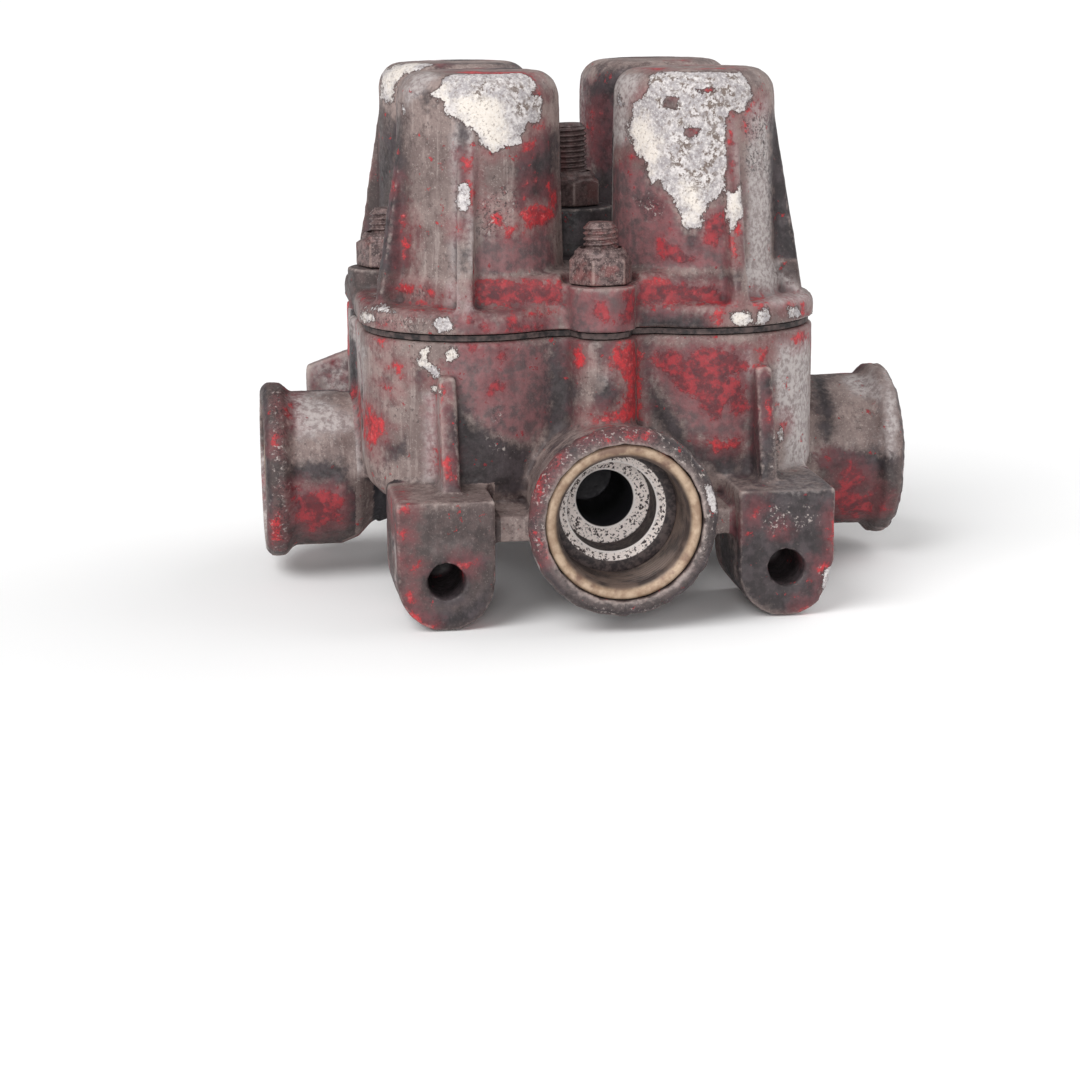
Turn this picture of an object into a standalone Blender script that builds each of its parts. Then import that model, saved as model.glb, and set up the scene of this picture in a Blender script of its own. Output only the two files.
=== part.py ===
"""A four-circuit protection valve of a compressed-air brake system.

A cover with four spring domes is held by five studs and nuts on a housing with four large side
ports, one small port and two mounting lugs. Under each dome a spring presses a plate, a
diaphragm and a valve head onto a seat.

Metres, +Z up. The origin is under the middle of the valve's box, at the level of its lowest
point. Everything hangs from an empty on the valve's own axis, at the joint between the castings:
sizes below are in that frame, so heights above the joint are positive and those below it are
negative. The front is -Y.
"""

import math

import bmesh
import bpy
from mathutils import Matrix, Vector

MM = 0.001

# How shapes are put together
GAP = 0.3 * MM  # between pieces that touch
OVERLAP = 1.0 * MM  # how deep a shape reaches into the one it is joined to
PAST = 3.0 * MM  # how far a cutter reaches past what it cuts
SHARP_ANGLE = math.radians(35)
MERGE_DISTANCE = 0.01 * MM

# Outline of the castings: a lobe round each dome, straight sides, and a valley on each side of the
# front and rear bosses
LOBE_X = 27.6 * MM
LOBE_Y = 25.2 * MM
LOBE_RADIUS = 26.2 * MM
SIDE_HALF = LOBE_X + LOBE_RADIUS
VALLEY = 46.8 * MM
OUTLINE_POINTS = 120
HOUSING_INSET = 0.4 * MM  # how far the housing and the gasket stay inside the flange's outline
GASKET_INSET = 1.2 * MM

# Castings
JOINT_HALF = 0.6 * MM  # half the gasket's thickness
COVER_BOTTOM = JOINT_HALF + GAP
FLANGE_TOP = 6.3 * MM
FLANGE_ROUND = 1.8 * MM
PLINTH_HALF = 45.8 * MM
PLINTH_CORNER = 20.8 * MM
PLINTH_TOP = 13.3 * MM
PLINTH_ROUND = 2.4 * MM
HOUSING_TOP = -COVER_BOTTOM
HOUSING_BOTTOM = -40.5 * MM
HOUSING_ROUND = 8.0 * MM

# Domes and the four circuits under them
CIRCUIT = 25.3 * MM  # offset of each circuit's axis from the middle, in X and in Y
DOME_BASE = 19.7 * MM
DOME_SHOULDER = 18.8 * MM
DOME_ROUND = 5.6 * MM
DOME_TOP = 58.3 * MM
DOME_WALL = 3.4 * MM
DOME_CEILING = DOME_TOP - DOME_WALL
BORE = DOME_SHOULDER - DOME_WALL
BORE_CHAMFER = 2.0 * MM
GUSSET_TOP = 50.0 * MM
GUSSET_REACH = 26.0 * MM
GUSSET_THICK = 3.8 * MM
GUSSET_TURN = math.radians(15)  # from the side's normal towards the corner
CHAMBER_FLOOR = -13.0 * MM
SEAT_TOP = -6.6 * MM
SEAT_RADIUS = 7.5 * MM
SEAT_BORE = 5.0 * MM
CROSS_HEIGHT = -33.0 * MM  # bores that lead from the seats to the ports
CROSS_RADIUS = 3.6 * MM
FEED_HEIGHT = -9.8 * MM  # bores that join the four chambers
FEED_RADIUS = 2.9 * MM

# Studs and nuts
STUD = 4.0 * MM
STUD_OFFSET = 45.0 * MM
STUD_HOLE = STUD + GAP
SIDE_BOSS = 7.8 * MM
SIDE_BOSS_OFFSET = 46.8 * MM  # the bosses stand out past the stud, and past the flange
SIDE_BOSS_TOP = 11.0 * MM
COLUMN_TOP = -0.92 * MM  # of the same boss on the housing's wall, just under the housing's top
COLUMN_BOTTOM = -27.9 * MM
SPOT_FACE = 9.0 * MM  # room cut for the nut in the plinth
SPOT_FACE_HEIGHT = 9.0 * MM
SIDE_STUD_TOP = 25.0 * MM
CENTRE_BOSS = 10.5 * MM
CENTRE_BOSS_TOP = 24.6 * MM
CENTRE_STUD_TOP = 44.4 * MM
STUD_ROOT = -19.0 * MM
NUT_FLATS = 13.0 * MM
NUT_HEIGHT = 8.0 * MM
NUT_HEX_HEIGHT = 6.3 * MM
NUT_COLLAR = 6.1 * MM
NUT_CHAMFER = 1.0 * MM
STUD_CHAMFER = 0.9 * MM
NUT_TURNS = {"centre": 29, "front": 7, "right": 40, "rear": 16, "left": 52}  # degrees, as tightened

# Ports
PORT_HEIGHT = -38.0 * MM
PORT_REACH = {"front": 77.0 * MM, "right": 79.6 * MM, "rear": 77.0 * MM, "left": 76.5 * MM}
PORT_NECK = 18.9 * MM
PORT_LIP = 21.5 * MM
PORT_LIP_LENGTH = 5.8 * MM
PORT_LIP_CHAMFER = 1.5 * MM
PORT_LIP_SLOPE = 1.2 * MM
BUSH_OUTER = 17.5 * MM
BUSH_INNER = 14.4 * MM
BUSH_LENGTH = 15.6 * MM
BUSH_RECESS = 0.9 * MM
BUSH_CHAMFER = 0.9 * MM
# The lower half of a neck ends in a round shoulder, and then narrows to the hub behind it
NECK_END = 58.0 * MM
SHOULDER_ROUND = 1.6 * MM
SHOULDER_BACK = 4.2 * MM
FLARE = 2.0 * MM
FLARE_FRONT = 50.4 * MM
FLARE_BACK = 44.0 * MM
HUB_RADIUS = {"front": 11.6 * MM, "right": 12.0 * MM, "rear": 11.4 * MM, "left": 11.8 * MM}
# The upper half of a neck runs on to the housing's wall
UPPER_NECK = PORT_NECK - 0.5 * MM
UPPER_NECK_ENDS = (44.0 * MM, 59.3 * MM)
UPPER_NECK_FLOOR = HOUSING_BOTTOM + 3.0 * MM
# Steps of a port's bore as (radius, distance behind the bush's pocket)
PASSAGE = 6.8 * MM
PASSAGE_END = 18.0 * MM
PORT_STEPS = (
    (11.9 * MM, 0.0),
    (10.5 * MM, 1.2 * MM),
    (10.5 * MM, 10.5 * MM),
    (9.3 * MM, 10.5 * MM),
    (PASSAGE, 13.0 * MM),
)
SUPPLY_X = 30.0 * MM
SUPPLY_HEIGHT = -14.0 * MM
SUPPLY_REACH = 70.0 * MM
SUPPLY_NECK = 11.0 * MM
SUPPLY_LIP = 12.6 * MM
SUPPLY_LIP_CHAMFER = 0.8 * MM
SUPPLY_LIP_LENGTH = 4.5 * MM
SUPPLY_LIP_SLOPE = 1.5 * MM
SUPPLY_NECK_BACK = 45.0 * MM
SUPPLY_PASSAGE = 4.2 * MM
SUPPLY_PASSAGE_END = 36.0 * MM
SUPPLY_BUSH_OUTER = 8.9 * MM
SUPPLY_BUSH_INNER = 7.2 * MM
SUPPLY_BUSH_LENGTH = 11.0 * MM

# Mounting lugs, ribs and webs of the housing
LUG = 38.7 * MM
LUG_HALF = 11.0 * MM
LUG_TOP = -33.7 * MM
LUG_HOLE_HEIGHT = -51.7 * MM
LUG_BOTTOM_CENTRE = -52.2 * MM
LUG_FACE = -67.6 * MM
LUG_BACK = -39.0 * MM
LUG_HOLE = 4.2 * MM
LUG_HOLE_DEPTH = 22.0 * MM
RIB = 36.3 * MM
RIB_BACK = -40.0 * MM
RIB_FOOT_REACH = 20.5 * MM
RIB_HEAD_REACH = 13.6 * MM
RIB_THICK = 4.0 * MM
RIB_TOP = -8.0 * MM
WEB_INNER = 15.0 * MM  # webs between the lugs and the front port
WEB_FRONT = -63.0 * MM
WEB_BACK = -38.0 * MM
WEB_HEIGHTS = (-44.5 * MM, -38.5 * MM)
FIN_Y = 40.0 * MM  # upright fins on the two sides, towards the rear
FIN_ROOT = 44.8 * MM
FIN_REACH = 63.4 * MM
FIN_TOP = -12.6 * MM
FIN_SHOULDER = -19.0 * MM
FIN_BOTTOM = HOUSING_BOTTOM + 4.0 * MM

# Heights inside one circuit, from the seat up
HEAD_BOTTOM = SEAT_TOP + GAP
HEAD_TOP = HEAD_BOTTOM + 2.2 * MM
HEAD_RADIUS = SEAT_RADIUS + 1.0 * MM
STEM_LENGTH = 8.0 * MM
STEM_RADII = (3.0 * MM, 2.4 * MM)
WEB_UNDER = HEAD_TOP + GAP  # underside of the diaphragm's middle
WEB_OVER = WEB_UNDER + 1.2 * MM
SLOPE_OVER = (2.9 * MM, 2.2 * MM)  # the slope between rim and middle, in from the bore, on the upper face
SLOPE_UNDER = (0.9 * MM, 1.6 * MM)
DIAPHRAGM_RIM = BORE + 3.9 * MM
PLATE_RADIUS = BORE - 3.5 * MM
PLATE_BOTTOM = WEB_OVER + GAP
PLATE_TOP = PLATE_BOTTOM + 4.0 * MM
CAP_RADIUS = BORE - 3.0 * MM
CAP_TOP = DOME_CEILING - GAP
CAP_BOTTOM = CAP_TOP - 2.4 * MM
GUIDE_RADII = (6.8 * MM, 7.6 * MM)  # the pegs that centre a spring's two ends
GUIDE_LENGTH = 4.0 * MM
SPRING_RADIUS = 10.2 * MM
SPRING_WIRE = 1.35 * MM
CLOSE_TURN = 2.25  # rise of an end turn, as a share of the wire's radius
SPRING_TURNS = 5.5
SPRING_POINTS = 8  # of the coil's axis in each turn

# The valve's axis and its joint plane, seen from the origin
AXIS_X = (PORT_REACH["left"] - PORT_REACH["right"]) / 2
JOINT_Z = LUG_HALF - LUG_BOTTOM_CENTRE

SIDES = {"front": (0, -1), "right": (1, 0), "rear": (0, 1), "left": (-1, 0)}
REAR = (0, 1, 0)
CIRCUITS = {"front_left": (-1, -1), "front_right": (1, -1), "rear_right": (1, 1), "rear_left": (-1, 1)}

PAINT = {
    "cover_paint": ((0.30, 0.19, 0.17), 0.75, 0.1),
    "housing_paint": ((0.27, 0.14, 0.13), 0.75, 0.1),
    "gasket": ((0.02, 0.02, 0.02), 0.8, 0.0),
    "rusty_steel": ((0.22, 0.13, 0.10), 0.7, 0.7),
    "brass": ((0.52, 0.42, 0.26), 0.45, 1.0),
    "spring_steel": ((0.45, 0.45, 0.47), 0.35, 1.0),
    "plate": ((0.62, 0.62, 0.60), 0.4, 1.0),
    "rubber": ((0.03, 0.03, 0.03), 0.85, 0.0),
    "seat_plastic": ((0.65, 0.63, 0.56), 0.5, 0.0),
}


def clear_scene():
    for obj in list(bpy.data.objects):
        bpy.data.objects.remove(obj, do_unlink=True)


def new_collection(name, shown):
    collection = bpy.data.collections.new(name)
    collection.hide_render = not shown
    bpy.context.scene.collection.children.link(collection)
    return collection


def make_materials():
    made = {}
    for name, (colour, roughness, metallic) in PAINT.items():
        material = bpy.data.materials.new(name)
        material.use_nodes = True
        shader = material.node_tree.nodes["Principled BSDF"]
        shader.inputs["Base Color"].default_value = (*colour, 1.0)
        shader.inputs["Roughness"].default_value = roughness
        shader.inputs["Metallic"].default_value = metallic
        made[name] = material
    return made


clear_scene()
VALVE = new_collection("multiport_valve", shown=True)
SHAPES = new_collection("joined_and_cut_shapes", shown=False)
MATERIALS = make_materials()
AXIS = bpy.data.objects.new("valve_axis", None)
AXIS.location = (AXIS_X, 0, JOINT_Z)
VALVE.objects.link(AXIS)


def place(mesh, name, collection, material=None):
    """An object of this mesh under the valve's axis. With no material it is a shape to join or cut."""
    obj = bpy.data.objects.new(name, mesh)
    collection.objects.link(obj)
    obj.parent = AXIS
    if material:
        if not mesh.materials:
            mesh.materials.append(MATERIALS[material])
    else:
        obj.hide_render = True
        obj.display_type = "WIRE"
    mesh.shade_smooth()
    mesh.set_sharp_from_angle(angle=SHARP_ANGLE)
    return obj


def finished(bm, name):
    bmesh.ops.recalc_face_normals(bm, faces=bm.faces)
    mesh = bpy.data.meshes.new(name)
    bm.to_mesh(mesh)
    bm.free()
    return mesh


def aimed(direction):
    """The rotation that turns +Z to this direction."""
    return Vector(direction).to_track_quat("Z", "Y").to_matrix().to_4x4()


def rod(name, start, end, radius, collection, sides=20):
    """A round bar from start to end."""
    start = Vector(start)
    along = Vector(end) - start
    bm = bmesh.new()
    bmesh.ops.create_cone(
        bm,
        cap_ends=True,
        segments=sides,
        radius1=radius,
        radius2=radius,
        depth=along.length,
        matrix=Matrix.Translation(start + along / 2) @ aimed(along),
    )
    return place(finished(bm, name), name, collection)


def block(name, low, high, collection):
    low = Vector(low)
    high = Vector(high)
    bm = bmesh.new()
    size = Matrix.Diagonal((*(high - low), 1))
    bmesh.ops.create_cube(bm, size=1, matrix=Matrix.Translation((low + high) / 2) @ size)
    return place(finished(bm, name), name, collection)


def slab(name, half, corner, low, high, rounding):
    """A square plate with round corners and a rounded upper rim."""
    bm = bmesh.new()
    size = Matrix.Diagonal((2 * half, 2 * half, high - low, 1))
    bmesh.ops.create_cube(bm, size=1, matrix=Matrix.Translation((0, 0, (low + high) / 2)) @ size)
    upright = [e for e in bm.edges if abs(e.verts[0].co.z - e.verts[1].co.z) > (high - low) / 2]
    bmesh.ops.bevel(bm, geom=upright, offset=corner, segments=7, profile=0.5, affect="EDGES")
    rim = [e for e in bm.edges if all(abs(v.co.z - high) < MERGE_DISTANCE for v in e.verts)]
    bmesh.ops.bevel(bm, geom=rim, offset=rounding, segments=2, profile=0.5, affect="EDGES")
    return finished(bm, name)


def outline_reach(angle, inset, boss):
    """How far the castings' outline is from the axis in this direction, when it is drawn in by inset.

    Boss is the radius of the outline's round ends at the side studs, or 0 when it has none.
    """
    towards = around(1, angle)
    reaches = []
    for half_x, half_y in ((SIDE_HALF, LOBE_Y), (LOBE_X, VALLEY)):
        across = (half_x - inset) / max(abs(towards.x), MERGE_DISTANCE)
        along = (half_y - inset) / max(abs(towards.y), MERGE_DISTANCE)
        reaches.append(min(across, along))
    rounds = [((x * LOBE_X, y * LOBE_Y, 0), LOBE_RADIUS - inset) for x, y in CIRCUITS.values()]
    if boss:
        rounds += [((x * SIDE_BOSS_OFFSET, y * SIDE_BOSS_OFFSET, 0), boss) for x, y in SIDES.values()]
    for centre, radius in rounds:
        ahead = towards.dot(Vector(centre))
        chord = radius**2 - Vector(centre).length_squared + ahead**2
        if ahead > 0 and chord > 0:
            reaches.append(ahead + math.sqrt(chord))
    return max(reaches)


def lobed_plate(name, rings, boss=0.0):
    """A plate with the castings' outline. Each ring is (height, inset), from one end to the other."""
    bm = bmesh.new()
    bmesh.ops.create_circle(bm, cap_ends=True, segments=OUTLINE_POINTS, radius=1)
    end = bm.faces[:][0]
    for index, (height, inset) in enumerate(rings):
        if index:
            before = end
            grown = bmesh.ops.extrude_face_region(bm, geom=[before])["geom"]
            end = next(item for item in grown if isinstance(item, bmesh.types.BMFace))
            if index > 1:  # only the first ring keeps its face, as the plate's other end
                bm.faces.remove(before)
        for vert in end.verts:
            angle = math.atan2(vert.co.y, vert.co.x)
            vert.co = around(outline_reach(angle, inset, boss), angle, height)
    return finished(bm, name)


def rounded_rim(height, inwards, radius, inset, steps):
    """Rings from a plate's side to its rounded rim at height. Inwards is 1 for a lower rim, or -1."""
    rings = []
    for step in range(steps + 1):
        turn = math.pi / 2 * step / steps
        drawn_in = inset + radius * (1 - math.cos(turn))
        rings.append((height + inwards * radius * (1 - math.sin(turn)), drawn_in))
    return rings


def turned(name, profile, collection, material=None, sides=24, at=(0, 0, 0), direction=(0, 0, 1)):
    """A solid of revolution. The profile is (radius, height) points, from the top down its outer side.

    It starts and ends on the axis, or it starts and ends at the same point, as for a ring.
    """
    bm = bmesh.new()
    is_ring = profile[0] == profile[-1]
    corners = profile[:-1] if is_ring else profile
    points = [bm.verts.new((radius, 0, height)) for radius, height in corners]
    for first, second in zip(points, points[1:]):
        bm.edges.new((first, second))
    if is_ring:
        bm.edges.new((points[-1], points[0]))
    mesh = bpy.data.meshes.new(name)
    bm.to_mesh(mesh)
    bm.free()
    obj = place(mesh, name, collection, material)
    obj.location = at
    obj.rotation_euler = aimed(direction).to_euler()
    screw = obj.modifiers.new("turn", "SCREW")
    screw.axis = "Z"
    screw.steps = sides
    screw.render_steps = sides
    screw.use_merge_vertices = True
    screw.merge_threshold = MERGE_DISTANCE
    return obj


def boolean(obj, operation, operands):
    """Joins or cuts with every shape of a collection."""
    modifier = obj.modifiers.new(operation.lower(), "BOOLEAN")
    modifier.operation = operation
    modifier.solver = "EXACT"
    modifier.operand_type = "COLLECTION"
    modifier.collection = operands


def shape_group(name):
    group = bpy.data.collections.new(name)
    group.hide_render = True
    SHAPES.children.link(group)
    return group


def around(radius, angle, height=0.0):
    return Vector((radius * math.cos(angle), radius * math.sin(angle), height))


def wedge(name, centre, angle, reach_low, reach_high, low, high, thick, collection):
    """An upright plate that runs outwards from centre and whose outer edge slants in towards its top."""
    bm = bmesh.new()
    inner = reach_high / 2
    bmesh.ops.create_cube(bm, size=1, matrix=Matrix.Translation((0.5, 0, 0.5)))
    for vert in bm.verts:
        reach = reach_high if vert.co.z > 0.5 else reach_low
        vert.co.x = reach if vert.co.x > 0.5 else inner
        vert.co.y *= thick
        vert.co.z = low + vert.co.z * (high - low)
    turn = Matrix.Translation(centre) @ Matrix.Rotation(angle, 4, "Z")
    bmesh.ops.transform(bm, verts=bm.verts, matrix=turn)
    return place(finished(bm, name), name, collection)


def dome_profile(top, base, base_radius, shoulder, rounding):
    """Down the outside of a dome: a flat top, a round shoulder and a wall with a slight draft."""
    points = [(0, top)]
    steps = 4
    for step in range(steps + 1):
        turn = math.pi / 2 * (1 - step / steps)
        radius = shoulder - rounding + rounding * math.cos(turn)
        points.append((radius, top - rounding + rounding * math.sin(turn)))
    return points + [(base_radius, base), (0, base)]


def circuit_centre(signs, height=0.0):
    return Vector((signs[0] * CIRCUIT, signs[1] * CIRCUIT, height))


def stud_places():
    """Each stud's name, place, boss height and top."""
    yield "centre", (0, 0), CENTRE_BOSS_TOP, CENTRE_STUD_TOP
    for name, (x, y) in SIDES.items():
        yield name, (x * STUD_OFFSET, y * STUD_OFFSET), SIDE_BOSS_TOP, SIDE_STUD_TOP


def add_domes(joined, cut, root):
    for name, signs in CIRCUITS.items():
        outside = dome_profile(DOME_TOP, root, DOME_BASE, DOME_SHOULDER, DOME_ROUND)
        turned(f"dome_{name}", outside, joined, sides=24, at=circuit_centre(signs))
        inside = [
            (0, DOME_CEILING),
            (BORE - BORE_CHAMFER, DOME_CEILING),
            (BORE, DOME_CEILING - BORE_CHAMFER),
            (BORE, -PAST),
            (0, -PAST),
        ]
        turned(f"dome_bore_{name}", inside, cut, sides=16, at=circuit_centre(signs))


def add_gussets(joined):
    """Each dome has one gusset on each of its two outer sides, turned a little towards the corner."""
    for name, signs in CIRCUITS.items():
        corner_angle = math.atan2(signs[1], signs[0])
        for side_angle in (math.atan2(0, signs[0]), math.atan2(signs[1], 0)):
            turn = math.remainder(corner_angle - side_angle, math.tau)
            angle = side_angle + math.copysign(GUSSET_TURN, turn)
            wedge(
                f"gusset_{name}_{round(math.degrees(angle))}",
                circuit_centre(signs),
                angle,
                GUSSET_REACH,
                DOME_SHOULDER - OVERLAP / 2,
                FLANGE_TOP - OVERLAP,
                GUSSET_TOP,
                GUSSET_THICK,
                joined,
            )


def boss_centre(x, y, height):
    """The side bosses stand a little further out than the studs in them."""
    outwards = SIDE_BOSS_OFFSET / STUD_OFFSET
    return Vector((x * outwards, y * outwards, height))


def add_cover_bosses(joined, cut, root):
    for name, (x, y), boss_top, _ in stud_places():
        if name == "centre":
            rod("boss_centre", (x, y, root), (x, y, boss_top), CENTRE_BOSS, joined)
        else:
            ends = (boss_centre(x, y, COVER_BOTTOM), boss_centre(x, y, boss_top))
            rod(f"boss_{name}", *ends, SIDE_BOSS, joined)
            face_ends = ((x, y, boss_top), (x, y, boss_top + SPOT_FACE_HEIGHT))
            rod(f"spot_face_{name}", *face_ends, SPOT_FACE, cut, sides=24)
        hole_ends = ((x, y, COVER_BOTTOM - PAST), (x, y, boss_top + PAST))
        rod(f"stud_hole_{name}", *hole_ends, STUD_HOLE, cut, sides=12)


def make_cover():
    joined = shape_group("cover_joined")
    cut = shape_group("cover_cut")
    rings = [(COVER_BOTTOM, 0)] + rounded_rim(FLANGE_TOP, -1, FLANGE_ROUND, 0, 2)
    mesh = lobed_plate("upper_cover", rings)
    cover = place(mesh, "upper_cover", VALVE, "cover_paint")
    root = COVER_BOTTOM + OVERLAP
    plinth = slab("plinth", PLINTH_HALF, PLINTH_CORNER, root, PLINTH_TOP, PLINTH_ROUND)
    place(plinth, "plinth", joined)
    add_domes(joined, cut, root)
    add_gussets(joined)
    add_cover_bosses(joined, cut, root)
    boolean(cover, "UNION", joined)
    boolean(cover, "DIFFERENCE", cut)


def port_outside(reach, hub):
    """A port's neck with its rounded lip, and the slimmer hub behind it.

    The height of a point is its distance from the valve's axis.
    """
    lip_back = reach - PORT_LIP_LENGTH
    return [
        (0, reach),
        (PORT_LIP - PORT_LIP_CHAMFER, reach),
        (PORT_LIP, reach - PORT_LIP_CHAMFER),
        (PORT_LIP, lip_back + PORT_LIP_SLOPE),
        (PORT_NECK, lip_back - PORT_LIP_SLOPE),
        (PORT_NECK, NECK_END),
        (PORT_NECK - SHOULDER_ROUND, NECK_END - SHOULDER_BACK),
        (hub + FLARE, FLARE_FRONT),
        (hub, FLARE_BACK),
        (hub, -hub / 2),
        (0, -hub / 2),
    ]


def port_inside(reach):
    """The stepped bore of a port: a pocket for the bush, two shoulders and the passage behind them."""
    pocket = reach - BUSH_RECESS - BUSH_LENGTH - GAP
    mouth = [(0, reach + PAST), (BUSH_OUTER + GAP, reach + PAST), (BUSH_OUTER + GAP, pocket)]
    steps = [(radius, pocket - behind) for radius, behind in PORT_STEPS]
    return mouth + steps + [(PASSAGE, PASSAGE_END), (0, PASSAGE_END)]


def add_ports(joined, cut):
    centre = Vector((0, 0, PORT_HEIGHT))
    for name, (x, y) in SIDES.items():
        outward = Vector((x, y, 0))
        outside = port_outside(PORT_REACH[name], HUB_RADIUS[name])
        turned(f"port_{name}", outside, joined, sides=24, at=centre, direction=outward)
        inside = port_inside(PORT_REACH[name])
        turned(f"port_bore_{name}", inside, cut, sides=20, at=centre, direction=outward)
        ends = (centre + outward * UPPER_NECK_ENDS[0], centre + outward * UPPER_NECK_ENDS[1])
        upper = rod(f"upper_neck_{name}", *ends, UPPER_NECK, joined, sides=26)
        keep_above(upper, UPPER_NECK_FLOOR)


def add_supply_port(joined, cut):
    lip_back = SUPPLY_REACH - SUPPLY_LIP_LENGTH
    outside = [
        (0, SUPPLY_REACH),
        (SUPPLY_LIP - SUPPLY_LIP_CHAMFER, SUPPLY_REACH),
        (SUPPLY_LIP, SUPPLY_REACH - SUPPLY_LIP_CHAMFER),
        (SUPPLY_LIP, lip_back),
        (SUPPLY_NECK, lip_back - SUPPLY_LIP_SLOPE),
        (SUPPLY_NECK, SUPPLY_NECK_BACK),
        (0, SUPPLY_NECK_BACK),
    ]
    pocket = SUPPLY_REACH - BUSH_RECESS - SUPPLY_BUSH_LENGTH - GAP
    inside = [
        (0, SUPPLY_REACH + PAST),
        (SUPPLY_BUSH_OUTER + GAP, SUPPLY_REACH + PAST),
        (SUPPLY_BUSH_OUTER + GAP, pocket),
        (SUPPLY_PASSAGE, pocket - BORE_CHAMFER),
        (SUPPLY_PASSAGE, SUPPLY_PASSAGE_END),
        (0, SUPPLY_PASSAGE_END),
    ]
    at = (SUPPLY_X, 0, SUPPLY_HEIGHT)
    turned("port_supply", outside, joined, sides=20, at=at, direction=REAR)
    turned("port_bore_supply", inside, cut, sides=16, at=at, direction=REAR)


def keep_above(obj, height):
    """Cuts off what a closed shape has below this height, and closes it again."""
    bm = bmesh.new()
    bm.from_mesh(obj.data)
    everything = bm.verts[:] + bm.edges[:] + bm.faces[:]
    plane = {"plane_co": (0, 0, height), "plane_no": (0, 0, 1)}
    bmesh.ops.bisect_plane(bm, geom=everything, clear_inner=True, **plane)
    bmesh.ops.holes_fill(bm, edges=bm.edges[:], sides=0)
    bmesh.ops.recalc_face_normals(bm, faces=bm.faces)
    bm.to_mesh(obj.data)
    bm.free()


def add_fins(joined):
    """An upright fin on each side, with a slanting top and a short upright end."""
    for side, sign in (("left", -1), ("right", 1)):
        centre = Vector((0, FIN_Y, 0))
        angle = 0 if sign > 0 else math.pi
        fin = wedge(
            f"fin_{side}", centre, angle, FIN_REACH, FIN_REACH, FIN_BOTTOM, FIN_TOP, RIB_THICK, joined
        )
        for vert in fin.data.vertices:
            if abs(vert.co.x) < FIN_ROOT:
                vert.co.x = sign * FIN_ROOT
            elif vert.co.z > FIN_SHOULDER:
                vert.co.z = FIN_SHOULDER


def add_lugs(joined, cut):
    """Each lug is a block with a round lower end, with a rib on its top and a web to the front port."""
    for side, sign in (("left", -1), ("right", 1)):
        middle = sign * LUG
        low = (middle - LUG_HALF, LUG_FACE, LUG_BOTTOM_CENTRE)
        block(f"lug_{side}", low, (middle + LUG_HALF, LUG_BACK, LUG_TOP), joined)
        ends = ((middle, LUG_FACE, LUG_BOTTOM_CENTRE), (middle, LUG_BACK, LUG_BOTTOM_CENTRE))
        rod(f"lug_round_{side}", *ends, LUG_HALF, joined, sides=24)
        hole_back = LUG_FACE + LUG_HOLE_DEPTH
        hole_ends = ((middle, LUG_FACE - PAST, LUG_HOLE_HEIGHT), (middle, hole_back, LUG_HOLE_HEIGHT))
        rod(f"lug_hole_{side}", *hole_ends, LUG_HOLE, cut, sides=16)
        root = Vector((sign * RIB, RIB_BACK, 0))
        reaches = (RIB_FOOT_REACH, RIB_HEAD_REACH)
        heights = (LUG_TOP - OVERLAP, RIB_TOP)
        wedge(f"rib_{side}", root, -math.pi / 2, *reaches, *heights, RIB_THICK, joined)
        web = sorted((sign * WEB_INNER, sign * (LUG - LUG_HALF + OVERLAP)))
        web_low = (web[0], WEB_FRONT, WEB_HEIGHTS[0])
        block(f"web_{side}", web_low, (web[1], WEB_BACK, WEB_HEIGHTS[1]), joined)


def add_chambers(cut):
    """Under each dome a round chamber with a raised valve seat, and the seat's bore."""
    for name, signs in CIRCUITS.items():
        chamber = [
            (0, PAST),
            (BORE, PAST),
            (BORE, CHAMBER_FLOOR),
            (SEAT_RADIUS, CHAMBER_FLOOR),
            (SEAT_RADIUS, SEAT_TOP),
            (0, SEAT_TOP),
        ]
        turned(f"chamber_{name}", chamber, cut, sides=16, at=circuit_centre(signs))
        ends = (circuit_centre(signs, CROSS_HEIGHT - CROSS_RADIUS), circuit_centre(signs, PAST))
        rod(f"seat_{name}", *ends, SEAT_BORE, cut, sides=12)


def add_passages(cut):
    """Bores from the seats to the ports and from chamber to chamber, and the studs' threaded holes."""
    following = list(CIRCUITS.values())[1:] + list(CIRCUITS.values())[:1]
    for index, (name, signs) in enumerate(CIRCUITS.items()):
        # Each seat's bore meets the passage of a port of its own, in this order: left, front, right, rear
        step = Vector((signs[0], 0, 0)) if index % 2 else Vector((0, signs[1], 0))
        start = circuit_centre(signs, CROSS_HEIGHT)
        rod(f"cross_{name}", start + step * OVERLAP, start - step * CIRCUIT, CROSS_RADIUS, cut, sides=8)
        feed_ends = (circuit_centre(signs, FEED_HEIGHT), circuit_centre(following[index], FEED_HEIGHT))
        rod(f"feed_{name}", *feed_ends, FEED_RADIUS, cut, sides=8)
    for name, (x, y), _, _ in stud_places():
        rod(f"stud_root_{name}", (x, y, STUD_ROOT - GAP), (x, y, PAST), STUD_HOLE, cut, sides=12)


def make_housing():
    joined = shape_group("housing_joined")
    cut = shape_group("housing_cut")
    lower_rim = rounded_rim(HOUSING_BOTTOM, 1, HOUSING_ROUND, HOUSING_INSET, 3)
    mesh = lobed_plate("lower_housing", lower_rim[::-1] + [(HOUSING_TOP, HOUSING_INSET)])
    housing = place(mesh, "lower_housing", VALVE, "housing_paint")
    for name, (x, y) in SIDES.items():
        stud_x, stud_y = x * STUD_OFFSET, y * STUD_OFFSET
        ends = (boss_centre(stud_x, stud_y, COLUMN_BOTTOM), boss_centre(stud_x, stud_y, COLUMN_TOP))
        rod(f"column_{name}", *ends, SIDE_BOSS, joined)
    add_ports(joined, cut)
    add_supply_port(joined, cut)
    add_lugs(joined, cut)
    add_fins(joined)
    add_chambers(cut)
    add_passages(cut)
    boolean(housing, "UNION", joined)
    boolean(housing, "DIFFERENCE", cut)


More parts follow.
